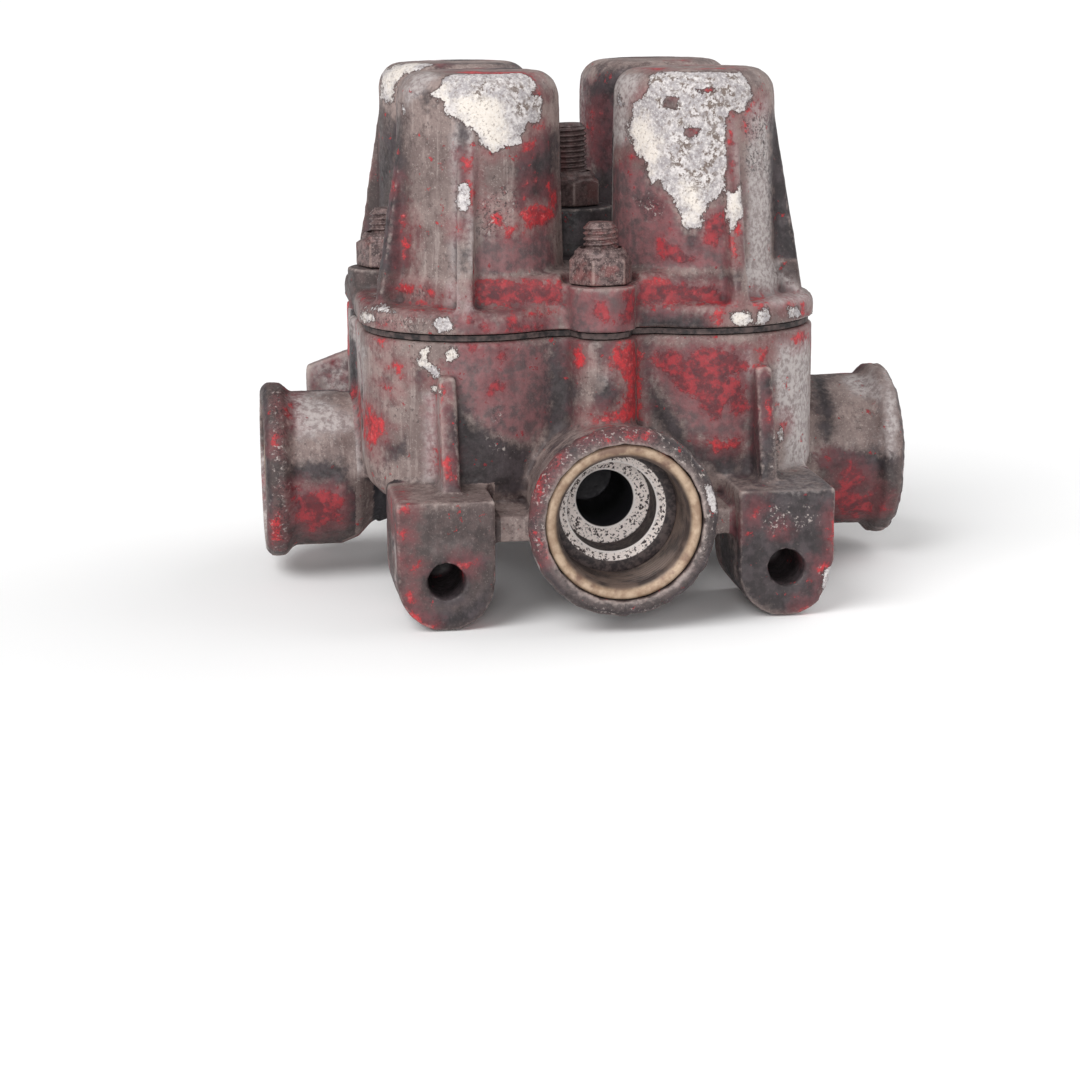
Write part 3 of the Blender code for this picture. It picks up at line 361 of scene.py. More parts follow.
# Outlines of what is left of each layer, as (X, height) seen from the front. On top of a dome the height runs on
# by the distance in from its rim. Some dark and soot outlines are painted shade and some pale ones painted
# highlight, marked where they stand.
PATCHES = {
    "dome_fl": {
        "bare": [
            [(-35, 58), (-34, 60.5), (-31.5, 63), (-17, 63), (-15, 60.5), (-14, 57.5), (-13.5, 55.5),
             (-14.5, 54), (-12.5, 53), (-12, 51.5), (-12.5, 49.5), (-13, 47.5), (-14.5, 47),
             (-15.5, 47.5), (-17, 45.5), (-17.5, 43.5), (-18.5, 42.5), (-20.5, 42.5), (-23, 41.5),
             (-24, 41), (-25.5, 42), (-27, 43), (-27.5, 45), (-29, 46.5), (-30.5, 47.5), (-31.5, 48.5),
             (-33.5, 49.5), (-34.5, 50), (-34.5, 52.5), (-35.5, 53), (-36.5, 53), (-37.5, 54.5),
             (-36.5, 55), (-35.5, 56.5)],
            [(-32, 34), (-31, 34.5), (-30, 34), (-30, 30.5), (-30.5, 28.5), (-32, 28.5), (-32.5, 30.5)],
            [(-43.5, 51.5), (-43, 51.5), (-42.5, 48.5), (-43, 49)],
        ],
        "cream": [
            [(-33, 53), (-27, 53.5), (-22, 52), (-21.5, 43.5), (-24, 42), (-26, 44), (-29, 47),
             (-31.5, 50)],
            [(-36.5, 55.5), (-34.5, 57.5), (-34, 52.5), (-36, 53.5)],
        ],
        "fleck": [
            [(-34, 58), (-28.5, 60), (-22, 59), (-23, 55), (-26.5, 53), (-32, 54)],
            [(-21, 58.5), (-14, 58), (-12.5, 52), (-12.5, 48), (-18, 48.5), (-20.5, 52.5)],
        ],
        "dark": [
            # Painted shade on the dome's right side.
            [(-18, 41), (-13.5, 43.5), (-10, 45.5), (-8, 45), (-8, 27.5), (-12, 29.5), (-15.5, 29.5),
             (-18, 27.5), (-20, 32.5)],
            [(-39.5, 53), (-37.5, 55.5), (-36.5, 54), (-37.5, 51.5), (-39, 51)],
            [(-16, 50), (-14.5, 50), (-14.5, 49), (-15.5, 49)],
            # These two are painted shadow along the rib.
            [(-31.5, 48), (-30.5, 48), (-30, 39.5), (-30.5, 34.5), (-32, 34.5)],
            [(-32, 28), (-30.5, 28), (-31, 8.5), (-33, 8.5), (-32.5, 20)],
            [(-44, 46), (-43.5, 39), (-43.5, 26.5), (-43.5, 9), (-46.5, 7.5), (-52, 7.5), (-53.5, 9),
             (-51, 20.5), (-47, 36.5)],
        ],
        "soot_and_shade": [
            [(-42.5, 49), (-42.3, 9), (-46, 6), (-57, 6), (-53, 25), (-46, 49)],
        ],
        "speck": [
            [(-28, 31), (-22.5, 32.5), (-18.5, 33.5), (-18.5, 27.5), (-21, 25), (-24, 23), (-27.5, 23),
             (-28.5, 27)],
        ],
        "red": [
            [(-31.5, 68.5), (-26.5, 74), (-16.5, 64), (-14.5, 61), (-13.5, 58.5), (-14, 58),
             (-15.5, 60.5), (-22, 62.5), (-28.5, 63)],
            [(-14.5, 54), (-13.5, 54.5), (-12.5, 53.5), (-14, 53)],
            [(-14, 46.5), (-12, 47), (-12, 46), (-13.5, 45.5)],
            [(-17.5, 41), (-17, 42.5), (-14, 43.5), (-13.5, 42.5), (-15, 41.5), (-17, 40.5)],
            [(-17, 34), (-16, 34.5), (-16.5, 33), (-17.5, 33)],
            [(-17, 31), (-16.5, 31), (-16.5, 30), (-17.5, 30)],
            [(-12, 33.5), (-10.5, 33.5), (-10, 31.5), (-8.5, 31), (-8.5, 28.5), (-9.5, 27.5),
             (-10.5, 28.5), (-11, 30.5)],
            [(-18, 27.5), (-16, 29), (-13, 29), (-10.5, 28), (-10, 26), (-11.5, 24), (-14.5, 23),
             (-17.5, 22.5)],
            [(-27.5, 30), (-26.5, 30.5), (-25.5, 30), (-26, 28.5), (-27.5, 29)],
            [(-24.5, 27), (-23.5, 27.5), (-22, 27), (-22.5, 25), (-24, 25), (-24.5, 25.5)],
            [(-22, 23), (-20.5, 24.5), (-19, 25), (-19, 23), (-21, 22)],
            [(-31, 39.5), (-29, 40), (-29, 37), (-30, 36), (-31, 37)],
            [(-30.5, 35), (-29.5, 35.5), (-29, 31), (-29.5, 28.5), (-30, 30.5)],
            [(-44, 26.5), (-43, 26.5), (-43, 19), (-44, 19)],
            [(-33, 25), (-32, 25.5), (-32, 23.5), (-33, 23.5)],
            [(-25.5, 41), (-24.5, 41.5), (-24.5, 40.5), (-25, 40.5)],
            [(-47, 35), (-45.5, 34.5), (-45.5, 32), (-47, 32)],
            [(-44, 18), (-43.5, 18.5), (-43.5, 15.5), (-44, 15.5)],
        ],
        "dust": [
            [(-28, 21.5), (-23, 22.5), (-17.5, 22), (-12, 24), (-9.5, 20), (-9, 15), (-10.5, 12),
             (-29.5, 13), (-29.5, 18.5)],
        ],
        "pale": [
            [(-42.5, 55.5), (-40.5, 60.5), (-36.5, 65), (-36, 60), (-38.5, 56.5), (-40, 53.5),
             (-42.5, 51.5)],
            # These two are painted highlight on the rib's edges.
            [(-30, 47), (-29, 46), (-29, 30.5), (-29, 8), (-30.5, 8), (-30.5, 27.5), (-29.5, 33)],
            [(-33, 44), (-32, 47.5), (-31.5, 47.5), (-32, 35), (-33, 8), (-34, 8), (-33, 30.5)],
        ],
    },
    "dome_fr": {
        "bare": [
            [(9.5, 51), (10.5, 51.5), (12.5, 51), (14.5, 50), (15.5, 49), (17, 48.5), (18, 49),
             (19, 51), (21, 52.5), (26, 52), (29, 53), (30, 51.5), (29.5, 49), (29, 43), (29, 38.5),
             (28.5, 35), (29, 33), (28, 30), (27, 30.5), (26.5, 29.5), (25, 28), (23.5, 26),
             (23.5, 23), (21, 23), (19.5, 23), (19, 25.5), (18, 28), (17, 30), (16, 31), (15.5, 32),
             (14.5, 34), (13.5, 33), (12.5, 33), (12, 35), (11.5, 37.5), (10.5, 38.5), (9.5, 40.5),
             (9, 42), (8.5, 44), (8.5, 46), (9, 47.5), (9, 49.5)],
            [(11, 50), (12, 54), (13, 59), (15.5, 62), (17.5, 58.5), (21, 60), (24, 57.5), (28, 61),
             (33, 60.5), (35.5, 55), (34.5, 50), (29, 49), (18, 47)],
            [(30.5, 54.5), (33, 55.5), (35, 54.5), (36, 52), (35, 51), (34, 49), (32, 48.5),
             (30.5, 50), (29.5, 52)],
            [(15.5, 62), (23.5, 61.5), (32, 60.5), (32, 56), (29.5, 53.5), (27, 54.5), (24.5, 56),
             (21, 57.5), (17, 57.5)],
            [(29, 31.5), (30.5, 30.5), (32.5, 33.5), (32.5, 26), (31, 24.5), (29.5, 22), (29, 24.5),
             (29, 28)],
            [(7, 52.5), (7, 52), (7.5, 50), (7, 50.5)],
        ],
        "cream": [
            [(9.5, 47), (12, 47.5), (14, 44), (14, 39), (12.5, 35), (10.5, 39.5), (9, 43.5)],
            [(19, 33), (23, 34), (24, 28), (22, 24.5), (20, 25)],
            [(30, 30), (31.5, 31), (31, 27), (30, 25)],
        ],
        "hole": [
            [(19.5, 45), (20.5, 46), (23, 45.5), (23.5, 44.5), (22, 43.5), (20.5, 43.5)],
            [(15, 51), (16.5, 53), (18.5, 52.5), (18, 50), (16, 50)],
            [(22, 54.5), (26, 55.5), (26.5, 54), (23, 53.5)],
            [(29, 47), (30.5, 48), (30.5, 44), (29.5, 42)],
        ],
        "fleck": [
            [(10.5, 49), (12, 60), (33, 61), (35, 50), (29.5, 45.5), (18.5, 45)],
            [(15.5, 45), (29, 45.5), (28.5, 34.5), (24, 30), (18.5, 33), (15.5, 38.5)],
            [(21, 57.5), (30.5, 58), (30.5, 53), (23, 53)],
        ],
        "dark": [
            [(15, 51.5), (16, 52), (17.5, 53), (18, 51), (17.5, 49), (16.5, 50), (15.5, 50.5)],
            [(19.5, 45), (20.5, 46), (23, 45.5), (23.5, 45), (22, 43.5), (21, 43), (20, 44)],
            # Painted shadow along the rib.
            [(31.5, 22), (32.5, 22), (34, 6.5), (32.5, 6)],
            # Painted shade on the dome's right side and the flange beyond it.
            [(41, 48), (47, 48), (49, 33), (53, 20), (56, 8), (49, 6.5), (45, 9), (43, 13.5),
             (41.5, 24.5)],
            # Painted shadow along the rib.
            [(29, 42.5), (30, 42.5), (31, 31.5), (30, 30.5), (29, 36)],
            [(11, 29.5), (13.5, 30.5), (15, 28.5), (15, 25.5), (12.5, 25.5)],
            [(19.5, 22), (23, 22), (23, 18.5), (20.5, 18)],
        ],
        "speck": [
            [(9.5, 29), (12.5, 30.5), (15, 29), (15, 25), (11.5, 25)],
            [(33, 47.5), (40.5, 48.5), (41.5, 34), (33.5, 34)],
        ],
        "red": [
            [(12, 63.5), (14, 65.5), (18.5, 70), (16.5, 63.5), (13, 63)],
            [(21.5, 69.5), (34.5, 68), (33.5, 65), (24.5, 66.5)],
            [(17, 54.5), (18.5, 55), (21, 54), (22, 53), (19.5, 52.5), (18, 53)],
            [(24, 54), (26, 54.5), (25.5, 53), (24, 53)],
            [(10.5, 50.5), (12, 53.5), (13, 55), (13.5, 53), (13.5, 51)],
            [(20.5, 45), (21, 45.5), (22.5, 45.5), (22.5, 44.5), (21.5, 43.5)],
            [(30, 49), (31.5, 48.5), (31, 48), (29.5, 48.5)],
            [(33.5, 49), (35, 50.5), (35.5, 51.5), (38.5, 51.5), (39, 49.5), (37.5, 49.5), (37, 51),
             (36, 50), (35, 48.5), (34, 48)],
            [(33.5, 46.5), (34.5, 46.5), (34.5, 44.5), (33.5, 44)],
            [(30, 24.5), (32, 25), (32, 22), (31, 21), (30, 22)],
            [(29.5, 21), (31, 21), (31.5, 7.5), (30, 7.5)],
            [(29.5, 47), (30.5, 47), (30.5, 41.5), (29.5, 41.5)],
            [(30, 40.5), (30.5, 40), (31, 32), (30, 34)],
            [(27.5, 58), (29, 58), (28.5, 56), (27.5, 56.5)],
            [(13.5, 28.5), (14.5, 29), (14.5, 27.5), (13.5, 27.5)],
            [(15, 23.5), (16.5, 24), (16.5, 22.5), (15.5, 22.5)],
            [(8.5, 39), (10, 40), (10, 38.5), (8.5, 38.5)],
            [(24.5, 26), (28, 26.5), (29, 22), (26.5, 19), (23.5, 19.5)],
            [(13.5, 21), (16, 20), (21, 17.5), (23, 15.5), (19.5, 14), (14.5, 16)],
        ],
        "dust": [
            [(2.5, 34), (8.5, 38), (11.5, 36), (12.5, 32.5), (15, 31.5), (17, 28), (19, 22),
             (23.5, 21.5), (25, 26), (27.5, 29), (29, 23.5), (29.5, 12), (8.5, 11.5), (3, 12.5)],
        ],
        "pale": [
            [(4, 51.5), (5, 55), (8.5, 58.5), (11, 60), (10.5, 53.5), (9, 51), (8.5, 46.5),
             (8.5, 42.5), (4.5, 40)],
            [(34.5, 51), (40, 51), (41.5, 33), (41.5, 13.5), (43, 10.5), (47.5, 6.5), (49.5, 5.5),
             (36.5, 5.5), (35, 17.5)],
            # Painted highlight on the rib's edge.
            [(30.5, 47.5), (31.5, 40.5), (32.5, 29.5), (34.5, 7), (33.5, 8.5), (31.5, 29.5),
             (30.5, 40.5)],
        ],
    },
    "base": {
        "red": [
            [(-30.5, 14), (-23, 13), (-8, 12), (-8.5, 7.5), (-9, 6.5), (-16.5, 7), (-23.5, 6.5),
             (-28, 7.5), (-30, 9), (-30.5, 11.5)],
            [(8.5, 11.5), (11.5, 12), (14, 12), (16.5, 10.5), (20.5, 10.5), (25.5, 10.5), (28, 9),
             (29.5, 7.5), (31, 6.5), (31, 5.5), (22, 5.5), (7.5, 6)],
            [(-46.5, 9), (-44.5, 10.5), (-42, 11.5), (-40.5, 10.5), (-42, 9), (-44.5, 8)],
            [(-39.5, 9.5), (-35, 9.5), (-35, 8), (-38.5, 7.5)],
            [(-45, 6.5), (-42, 7.5), (-38.5, 7), (-35, 7.5), (-35, 6), (-37.5, 5.5), (-39, 6.5),
             (-43.5, 6.5)],
            [(-18, 6), (-10.5, 5.5), (-9.5, 5), (-12, 4), (-15.5, 4), (-17.5, 4.5)],
            [(-31.5, 5), (-29.5, 5.5), (-29, 4), (-26.5, 3), (-27, 1.5), (-29.5, 2), (-31.5, 3.5)],
            [(-23, 4), (-20, 4.5), (-19, 3.5), (-17, 2), (-19.5, 1.5), (-23, 1.5)],
            [(-17, 2.5), (-14.5, 3), (-13.5, 2), (-15.5, 1)],
            [(23.5, 5), (27, 6), (28.5, 5), (27.5, 2.5), (26, 1), (24.5, 3)],
            [(34, 6), (38.5, 6), (38, 5), (35, 5)],
            [(42, 4), (43, 5.5), (46, 5), (46, 4), (44, 4.5)],
            [(47.5, 4.5), (48.5, 4.5), (49, 2), (47.5, 2)],
            [(52, 2.5), (53, 2.5), (53, 1), (52, 1)],
            [(-53, 6), (-50.5, 6.5), (-50, 6.5), (-52.5, 6)],
            [(-50.5, 2.5), (-48.5, 3), (-47.5, 2), (-50, 1.5)],
            [(3, 10.5), (6.5, 11), (7, 7.5), (6.5, 3.5), (4, 1.5), (2.5, 4.5), (3.5, 7)],
            [(-4, 9.5), (-1.5, 8.5), (1, 6), (-0.5, 3.5), (-3, 4.5)],
        ],
        "bare": [
            [(28.5, 4), (30.5, 4.5), (33, 4.5), (34, 3.5), (34.5, 1.5), (32.5, 1.5), (30, 1.5),
             (29, 2.5)],
            [(-38.5, 4.5), (-37.5, 5), (-35.5, 5), (-35, 4), (-34.5, 2.5), (-36, 1.5), (-38, 2),
             (-39, 3.5)],
            [(-53, 5), (-50, 6), (-48, 6), (-47, 5.5), (-50, 5), (-52.5, 4.5)],
            [(-53.5, 4), (-51, 4.5), (-50.5, 3), (-52.5, 2), (-53.5, 2)],
            [(35, 4), (38, 5), (39, 2.5), (37, 1), (35, 1.5)],
            [(43, 4.5), (46.5, 4), (47, 2), (43.5, 2)],
        ],
        "cream": [
            [(29, 4), (34, 4), (34, 2), (30, 2)],
            [(-53.5, 3.5), (-51.5, 4.5), (-51, 3), (-53, 2)],
        ],
        "fleck": [
            [(-53.5, 5), (-39, 6.5), (-39, 1.5), (-50, 0.5), (-55, 2.5)],
            [(34.5, 4.5), (48.5, 6.5), (48.5, 3), (35, 1)],
        ],
        "dark": [
            [(-30.5, 6), (-26, 6), (-18.5, 6), (-18.5, 5), (-26, 5), (-30.5, 5)],
            [(8, 5.5), (19.5, 5.5), (23.5, 5), (24.5, 3.5), (25.5, -0.5), (8, 0.5)],
            [(-49.5, 8), (-46, 10.5), (-46.5, 9), (-49.5, 8), (-51.5, 6.5)],
            [(15.5, 12.5), (30, 12.5), (30, 11), (16.5, 11)],
        ],
        "speck": [
            [(-50, 5), (-39, 5.5), (-38.5, 1.5), (-50.5, 1), (-54.5, 3)],
            [(-45.5, 9), (-39.5, 10.5), (-39.5, 8.5), (-45.5, 7)],
        ],
        "soot_and_shade": [
            [(-42, 18), (-62, 18), (-60, 6), (-46, 6)],
            [(42.5, 18), (62, 18), (54, 6), (50.5, 7), (43.5, 11)],
        ],
        "dust": [
            [(-8.5, 11), (7.5, 11), (8, -0.5), (-8.5, 0)],
            [(-34, 5), (-9, 4), (-9.5, 0), (-34, 0.5)],
            [(7.5, 11), (30, 10.5), (30, 6), (7.5, 6)],
            [(-30, 12.5), (-8.5, 11), (-9, 6.5), (-28.5, 7)],
        ],
        "pale": [
            [(33, 18), (42, 18), (50.5, 6), (51.5, 4.5), (34, 6)],
            [(-35, 11.5), (-33.5, 12), (-33, 6.5), (-35.5, 6.5)],
            [(-31, 12), (-29.5, 8.5), (-28, 6.5), (-31.5, 6)],
        ],
    },
    "wall": {
        "bare": [
            [(-42, -3), (-41, -2.5), (-39.5, -2), (-40, -3.5), (-40.5, -5), (-39.5, -6), (-38, -7),
             (-37.5, -8), (-38.5, -9), (-39.5, -8.5), (-40.5, -7), (-41, -6.5), (-42, -6.5),
             (-42.5, -5.5), (-42, -4.5)],
            [(-36, -3), (-35, -2), (-34, -2), (-33.5, -3), (-33, -3.5), (-34, -4.5), (-35.5, -5),
             (-36, -4.5)],
            [(-39.5, -11), (-38.5, -10.5), (-38, -10.5), (-38, -11.5), (-39, -12.5)],
            [(41, -24.5), (42, -23.5), (43, -26.5), (41.5, -27)],
        ],
        "cream": [
            [(-35.5, -2.5), (-33, -2.5), (-33.5, -4.5), (-35.5, -4.5)],
            [(-42, -2.5), (-39.5, -2.5), (-40.5, -6), (-42, -6)],
            [(-39.5, -11), (-38, -10), (-38, -11.5), (-39, -12.5)],
        ],
        "fleck": [
            [(31, -4.5), (35, -4.5), (34.5, -11), (31.5, -11.5)],
            [(37, -21), (43.5, -24.5), (42, -33.5), (36, -32.5)],
            [(-53.5, -26.5), (-42, -23.5), (-41.5, -32), (-52, -37.5)],
        ],
        "red": [
            [(-39.5, -9), (-38, -8), (-38, -9.5), (-39, -10.5), (-39.5, -10.5)],
            [(-38, -9.5), (-37.5, -9.5), (-37.5, -13.5), (-38, -13.5)],
            [(-53.5, -20.5), (-53, -17.5), (-52, -17), (-51, -18.5), (-49, -21), (-49.5, -23.5),
             (-51, -26), (-52, -28.5), (-53, -26.5), (-53.5, -26.5), (-53.5, -23.5)],
            [(-50, -12), (-48.5, -11.5), (-47, -12), (-47.5, -13), (-49.5, -13)],
            [(-49, -7.5), (-47, -6.5), (-45.5, -6.5), (-45.5, -9.5), (-46.5, -9.5), (-47, -8)],
            [(-27, -10.5), (-25, -9.5), (-22, -10.5), (-24, -12), (-27, -12.5)],
            [(-31.5, -1.5), (-29.5, -1), (-29.5, -2), (-31, -2.5)],
            [(-24.5, -1.5), (-22.5, -2), (-22.5, -5), (-24.5, -4.5)],
            [(-50, -1), (-49, -1), (-49, -2.5), (-50, -2.5)],
            [(-39, -14.5), (-38.5, -14.5), (-38.5, -17.5), (-39, -17.5)],
            [(-38.5, -20), (-38.5, -19), (-38.5, -20), (-38.5, -21.5)],
            [(-38.5, -24), (-38.5, -23.5), (-38.5, -25.5), (-38.5, -26)],
            [(-38.5, -25.5), (-36.5, -25.5), (-36.5, -30), (-38.5, -30)],
            [(12.5, -4.5), (17, -3.5), (19, -6), (22, -3), (32, -4.5), (33, -9), (29, -10.5), (33, -13),
             (33, -19), (30, -20), (28, -16.5), (26, -20.5), (22, -18), (21, -14), (18.5, -14.5), (15, -11),
             (12.5, -8.5)],
            [(35.5, -4.5), (37.5, -3.5), (39, -3.5), (39, -6), (37.5, -8), (35, -9), (35, -8)],
            [(44, -3), (46, -2), (50, -2), (51, -3.5), (49, -4.5), (46, -4.5)],
            [(36.5, -15.5), (37.5, -15), (37.5, -19.5), (36.5, -20.5)],
            [(1, -3), (3.5, -1), (7.5, -2), (9, -6.5), (9, -20.5), (-5, -19), (-5.5, -18), (-0.5, -17),
             (2, -17), (4.5, -14.5), (5, -11), (2.5, -8.5), (1, -6.5)],
            [(-7.5, -3.5), (-6, -2), (-5, -5), (-6, -8), (-7, -7)],
            [(42, -22.5), (43.5, -22.5), (43.5, -24.5), (42, -24.5)],
            [(22, -25), (31.5, -24.5), (32.5, -26.5), (25.5, -28)],
        ],
        "dust": [
            [(-34, -1), (-12.5, -1.5), (-11, -20), (-17, -24.5), (-24.5, -22.5), (-31, -17.5),
             (-36, -12), (-36, -4.5)],
            [(11.5, -3), (32.5, -3.5), (33, -25.5), (20, -24), (15, -16), (11, -9)],
        ],
        "dark": [
            [(-37, -14), (-35, -14.5), (-30.5, -18.5), (-28, -20.5), (-24, -23.5), (-19.5, -24.5),
             (-16.5, -26), (-18, -30.5), (-19.5, -37), (-37.5, -33)],
            # Painted shade in the hollow left of the front column.
            [(-12, -1.5), (-7, -1), (-6.5, -14.5), (-7, -19.5), (-10, -22.5), (-13, -25.5),
             (-13.5, -19.5)],
            [(9, -2), (11, -3), (12, -10.5), (14, -15), (17, -20.5), (19.5, -24.5), (32.5, -26),
             (30.5, -33.5), (27.5, -35), (16.5, -26.5), (10, -19), (10.5, -19.5), (9, -11)],
            # Painted shadow on the left face of the right lug's rib.
            [(34.5, -8.5), (38.5, -7.5), (40, -12), (38, -26.5), (37, -33.5), (31.5, -33.5),
             (32.5, -23), (33.5, -13.5)],
            [(-3.5, -1), (1, -1), (0.5, -4.5), (-2, -5.5)],
            [(-1.5, -9.5), (1, -9), (3.5, -12.5), (2, -17), (-2, -17), (-3, -14)],
            [(-49.5, -9.5), (-47.5, -9), (-47.5, -10.5), (-49, -11.5)],
            [(-50.5, -25), (-46, -24.5), (-44.5, -27), (-49.5, -29)],
            [(-42, -7.5), (-40.5, -9), (-41, -10.5), (-42, -9.5)],
        ],
        "speck": [
            [(-28, -22.5), (-24.5, -21.5), (-20, -26.5), (-21.5, -28), (-26.5, -25.5)],
            [(-27, -15.5), (-24, -15.5), (-23.5, -19.5), (-26, -19.5)],
            [(37, -22), (43.5, -24.5), (42, -33.5), (36, -32.5)],
        ],
        "pale": [
            # Painted highlight on the left column.
            [(-53.5, -8), (-53.5, -4.5), (-54.5, -37.5), (-55.5, -38.5)],
            # Painted highlight on the left side of the left lug's rib.
            [(-40.5, -13), (-39.5, -12), (-38.5, -14), (-38.5, -32.5), (-41, -32.5)],
            [(40.5, -4), (50.5, -3), (51.5, -33.5), (42, -33.5), (43.5, -24.5), (41, -21.5), (40, -12)],
            [(-1, -9), (0.5, -8.5), (1, -11.5), (-0.5, -13.5), (-1.5, -11.5)],
            [(31.5, -5.5), (33.5, -5), (34.5, -9.5), (33.5, -11.5), (32.5, -10)],
        ],
    },
    "port_left": {
        "soot_and_shade": [
            [(-78, -13), (-71, -13), (-71, -62), (-78, -62)],
            # Painted shadow under the port.
            [(-78, -49), (-50, -45), (-50, -62), (-78, -62)],
        ],
        "pale": [
            [(-70.5, -17.5), (-53, -24.5), (-57, -26.5), (-68, -27.5), (-70.5, -23.5)],
        ],
        "dark": [
            [(-71.5, -33), (-57.5, -33), (-57, -38.5), (-72, -38)],
            # Painted shadow where the port meets the housing.
            [(-57.5, -39), (-48, -43.5), (-48.5, -49.5), (-54, -51.5), (-57, -48)],
            [(-69.5, -20), (-68.5, -20.5), (-68.5, -24), (-70.5, -28)],
        ],
        "speck": [
            [(-74.5, -15), (-70.5, -15), (-72, -58), (-75.5, -58)],
        ],
        "red": [
            [(-71.5, -20.5), (-69.5, -21), (-69.5, -24.5), (-71, -23.5)],
            [(-74.5, -26.5), (-73, -26.5), (-73.5, -29.5), (-75, -29)],
            [(-70.5, -41), (-61.5, -40), (-58, -42.5), (-59, -48.5), (-65.5, -50.5), (-70, -47.5)],
            [(-72, -38.5), (-68.5, -38.5), (-68.5, -40), (-71.5, -40)],
            [(-76, -47), (-73.5, -45.5), (-73, -52.5), (-75.5, -54)],
        ],
        "dust": [
            [(-72, -38.5), (-56.5, -39), (-56.5, -44), (-59.5, -54), (-72, -56)],
        ],
    },
    "port_right": {
        "dark": [
            [(59, -15), (64, -15), (62, -34), (59, -34)],
            [(59, -34), (76, -36), (75.5, -40.5), (59, -39.5)],
        ],
        "soot_and_shade": [
            # Painted shade on the port's lower half.
            [(58, -36), (79, -36), (79, -62), (58, -62)],
        ],
        "pale": [
            [(65, -15), (75, -15), (75, -24), (68, -22)],
            [(77.5, -18), (78, -23.5), (77, -32.5), (77, -45), (74, -40), (75, -25.5)],
        ],
        "dust": [
            [(59, -38), (74, -38), (75.5, -50.5), (74, -56), (63, -53.5), (62.5, -40)],
        ],
        "red": [
            [(63, -40.5), (66, -38), (69, -40), (70.5, -42.5), (68.5, -46), (65.5, -47), (64, -44.5)],
            [(63, -45), (66, -44), (70, -47), (73, -45), (72.5, -50), (68, -52), (64, -50)],
            [(64, -48), (67.5, -49.5), (71, -48), (73, -51), (70, -53.5), (65, -51.5)],
            [(60, -36), (61.5, -36), (61.5, -37.5), (60, -37.5)],
            [(74.5, -48), (76, -47), (75.5, -50.5), (74.5, -51.5)],
        ],
    },
    "lugs": {
        "soot_and_shade": [
            [(-54, -34.5), (-22, -34.5), (-22, -68), (-54, -68)],
        ],
        "dust": [
            [(17, -34), (27.5, -36.5), (27.5, -43.5), (19.5, -40)],
        ],
        "dark": [
            [(-48.5, -55.5), (-43.5, -58.5), (-37, -58.5), (-31.5, -55.5), (-28.5, -51.5),
             (-29.5, -57.5), (-33.5, -61.5), (-40.5, -63), (-46, -61)],
            [(28, -33.5), (50.5, -33), (50, -50.5), (47, -60), (43.5, -63), (35, -63), (28, -58),
             (24, -49.5), (20.5, -40.5), (27.5, -41)],
            [(-35.5, -46), (-30, -47), (-30.5, -49.5), (-35, -48)],
        ],
        "pale": [
            [(-43.5, -43.5), (-42, -42), (-35.5, -42), (-32.5, -43.5), (-33.5, -44.5), (-38, -43.5),
             (-42, -45.5)],
            # Painted highlight along the right lug's top.
            [(36, -34), (42, -33.5), (49.5, -34), (49, -36.5), (43, -37.5), (39.5, -39)],
        ],
        "speck": [
            [(32, -37.5), (44.5, -37.5), (46, -41), (44.5, -43.5), (33.5, -43.5)],
            [(46.5, -52.5), (50, -52), (49.5, -58), (46.5, -59)],
        ],
        "bare": [
            [(47.5, -53.5), (49.5, -52), (51, -54), (50, -57.5), (47.5, -59.5), (47, -57.5)],
        ],
        "red": [
            [(-49, -34.5), (-47, -34), (-46.5, -36), (-49, -36)],
            [(-48.5, -46.5), (-45, -48), (-46, -49), (-48, -48)],
            [(-36.5, -47), (-33, -48), (-33.5, -49), (-36, -48.5)],
            [(-47.5, -53), (-46, -55), (-46.5, -57), (-47.5, -56)],
            [(-48, -57), (-46.5, -58), (-43, -61.5), (-41.5, -62.5), (-44, -62.5), (-47.5, -59)],
            [(-49, -39.5), (-47.5, -39.5), (-47.5, -41), (-48.5, -41.5)],
            [(49, -39.5), (50, -40), (50, -45), (49, -44.5)],
            [(49, -46), (50, -46.5), (50, -49), (49, -48.5)],
            [(46, -51.5), (47.5, -51), (48, -53), (46.5, -53.5)],
            [(47.5, -55.5), (49, -54.5), (48.5, -59), (47, -58.5)],
            [(41, -62), (44, -60.5), (43.5, -62.5), (41.5, -62.5)],
            [(30.5, -37.5), (32, -37.5), (31.5, -39.5), (30.5, -39.5)],
            [(24, -40.5), (27, -41), (26.5, -44), (24.5, -44)],
            [(36.5, -42.5), (38, -43), (38, -43.5), (37, -43.5)],
        ],
    },
    "lip": {
        "soot_and_shade": [
            [(-26, -14), (26, -14), (26, -64), (-26, -64)],
        ],
        "bare": [
            [(18, -30), (20, -31.5), (20.5, -36.5), (19.5, -36), (18.5, -33.5)],
        ],
        "pale": [
            [(-8.5, -18.5), (-5.5, -17), (-4, -18.5), (-7.5, -20)],
            [(3.5, -19.5), (9.5, -19.5), (11.5, -22), (8.5, -22), (4.5, -20.5)],
            [(14.5, -22.5), (17, -25), (19, -29.5), (17.5, -29.5), (15.5, -25)],
        ],
        "red": [
            [(-20, -26.5), (-17.5, -25.5), (-17, -27.5), (-18, -32), (-20, -34.5)],
            [(0, -17.5), (5.5, -18), (5, -19), (0, -19)],
            [(-10.5, -17.5), (-7, -16.5), (-7.5, -18), (-10, -19)],
            [(-4.5, -18.5), (-3, -18.5), (-3.5, -19.5), (-4.5, -19.5)],
            [(-19, -41), (-18, -42), (-17, -44.5), (-17.5, -44.5)],
            [(-15, -23.5), (-14, -22.5), (-15, -25.5), (-16, -26)],
        ],
        "speck": [
            [(-21, -15), (21, -16.5), (21.5, -47), (16.5, -47), (14.5, -26.5), (-1, -20.5),
             (-14.5, -25.5), (-17.5, -45.5), (-21, -45)],
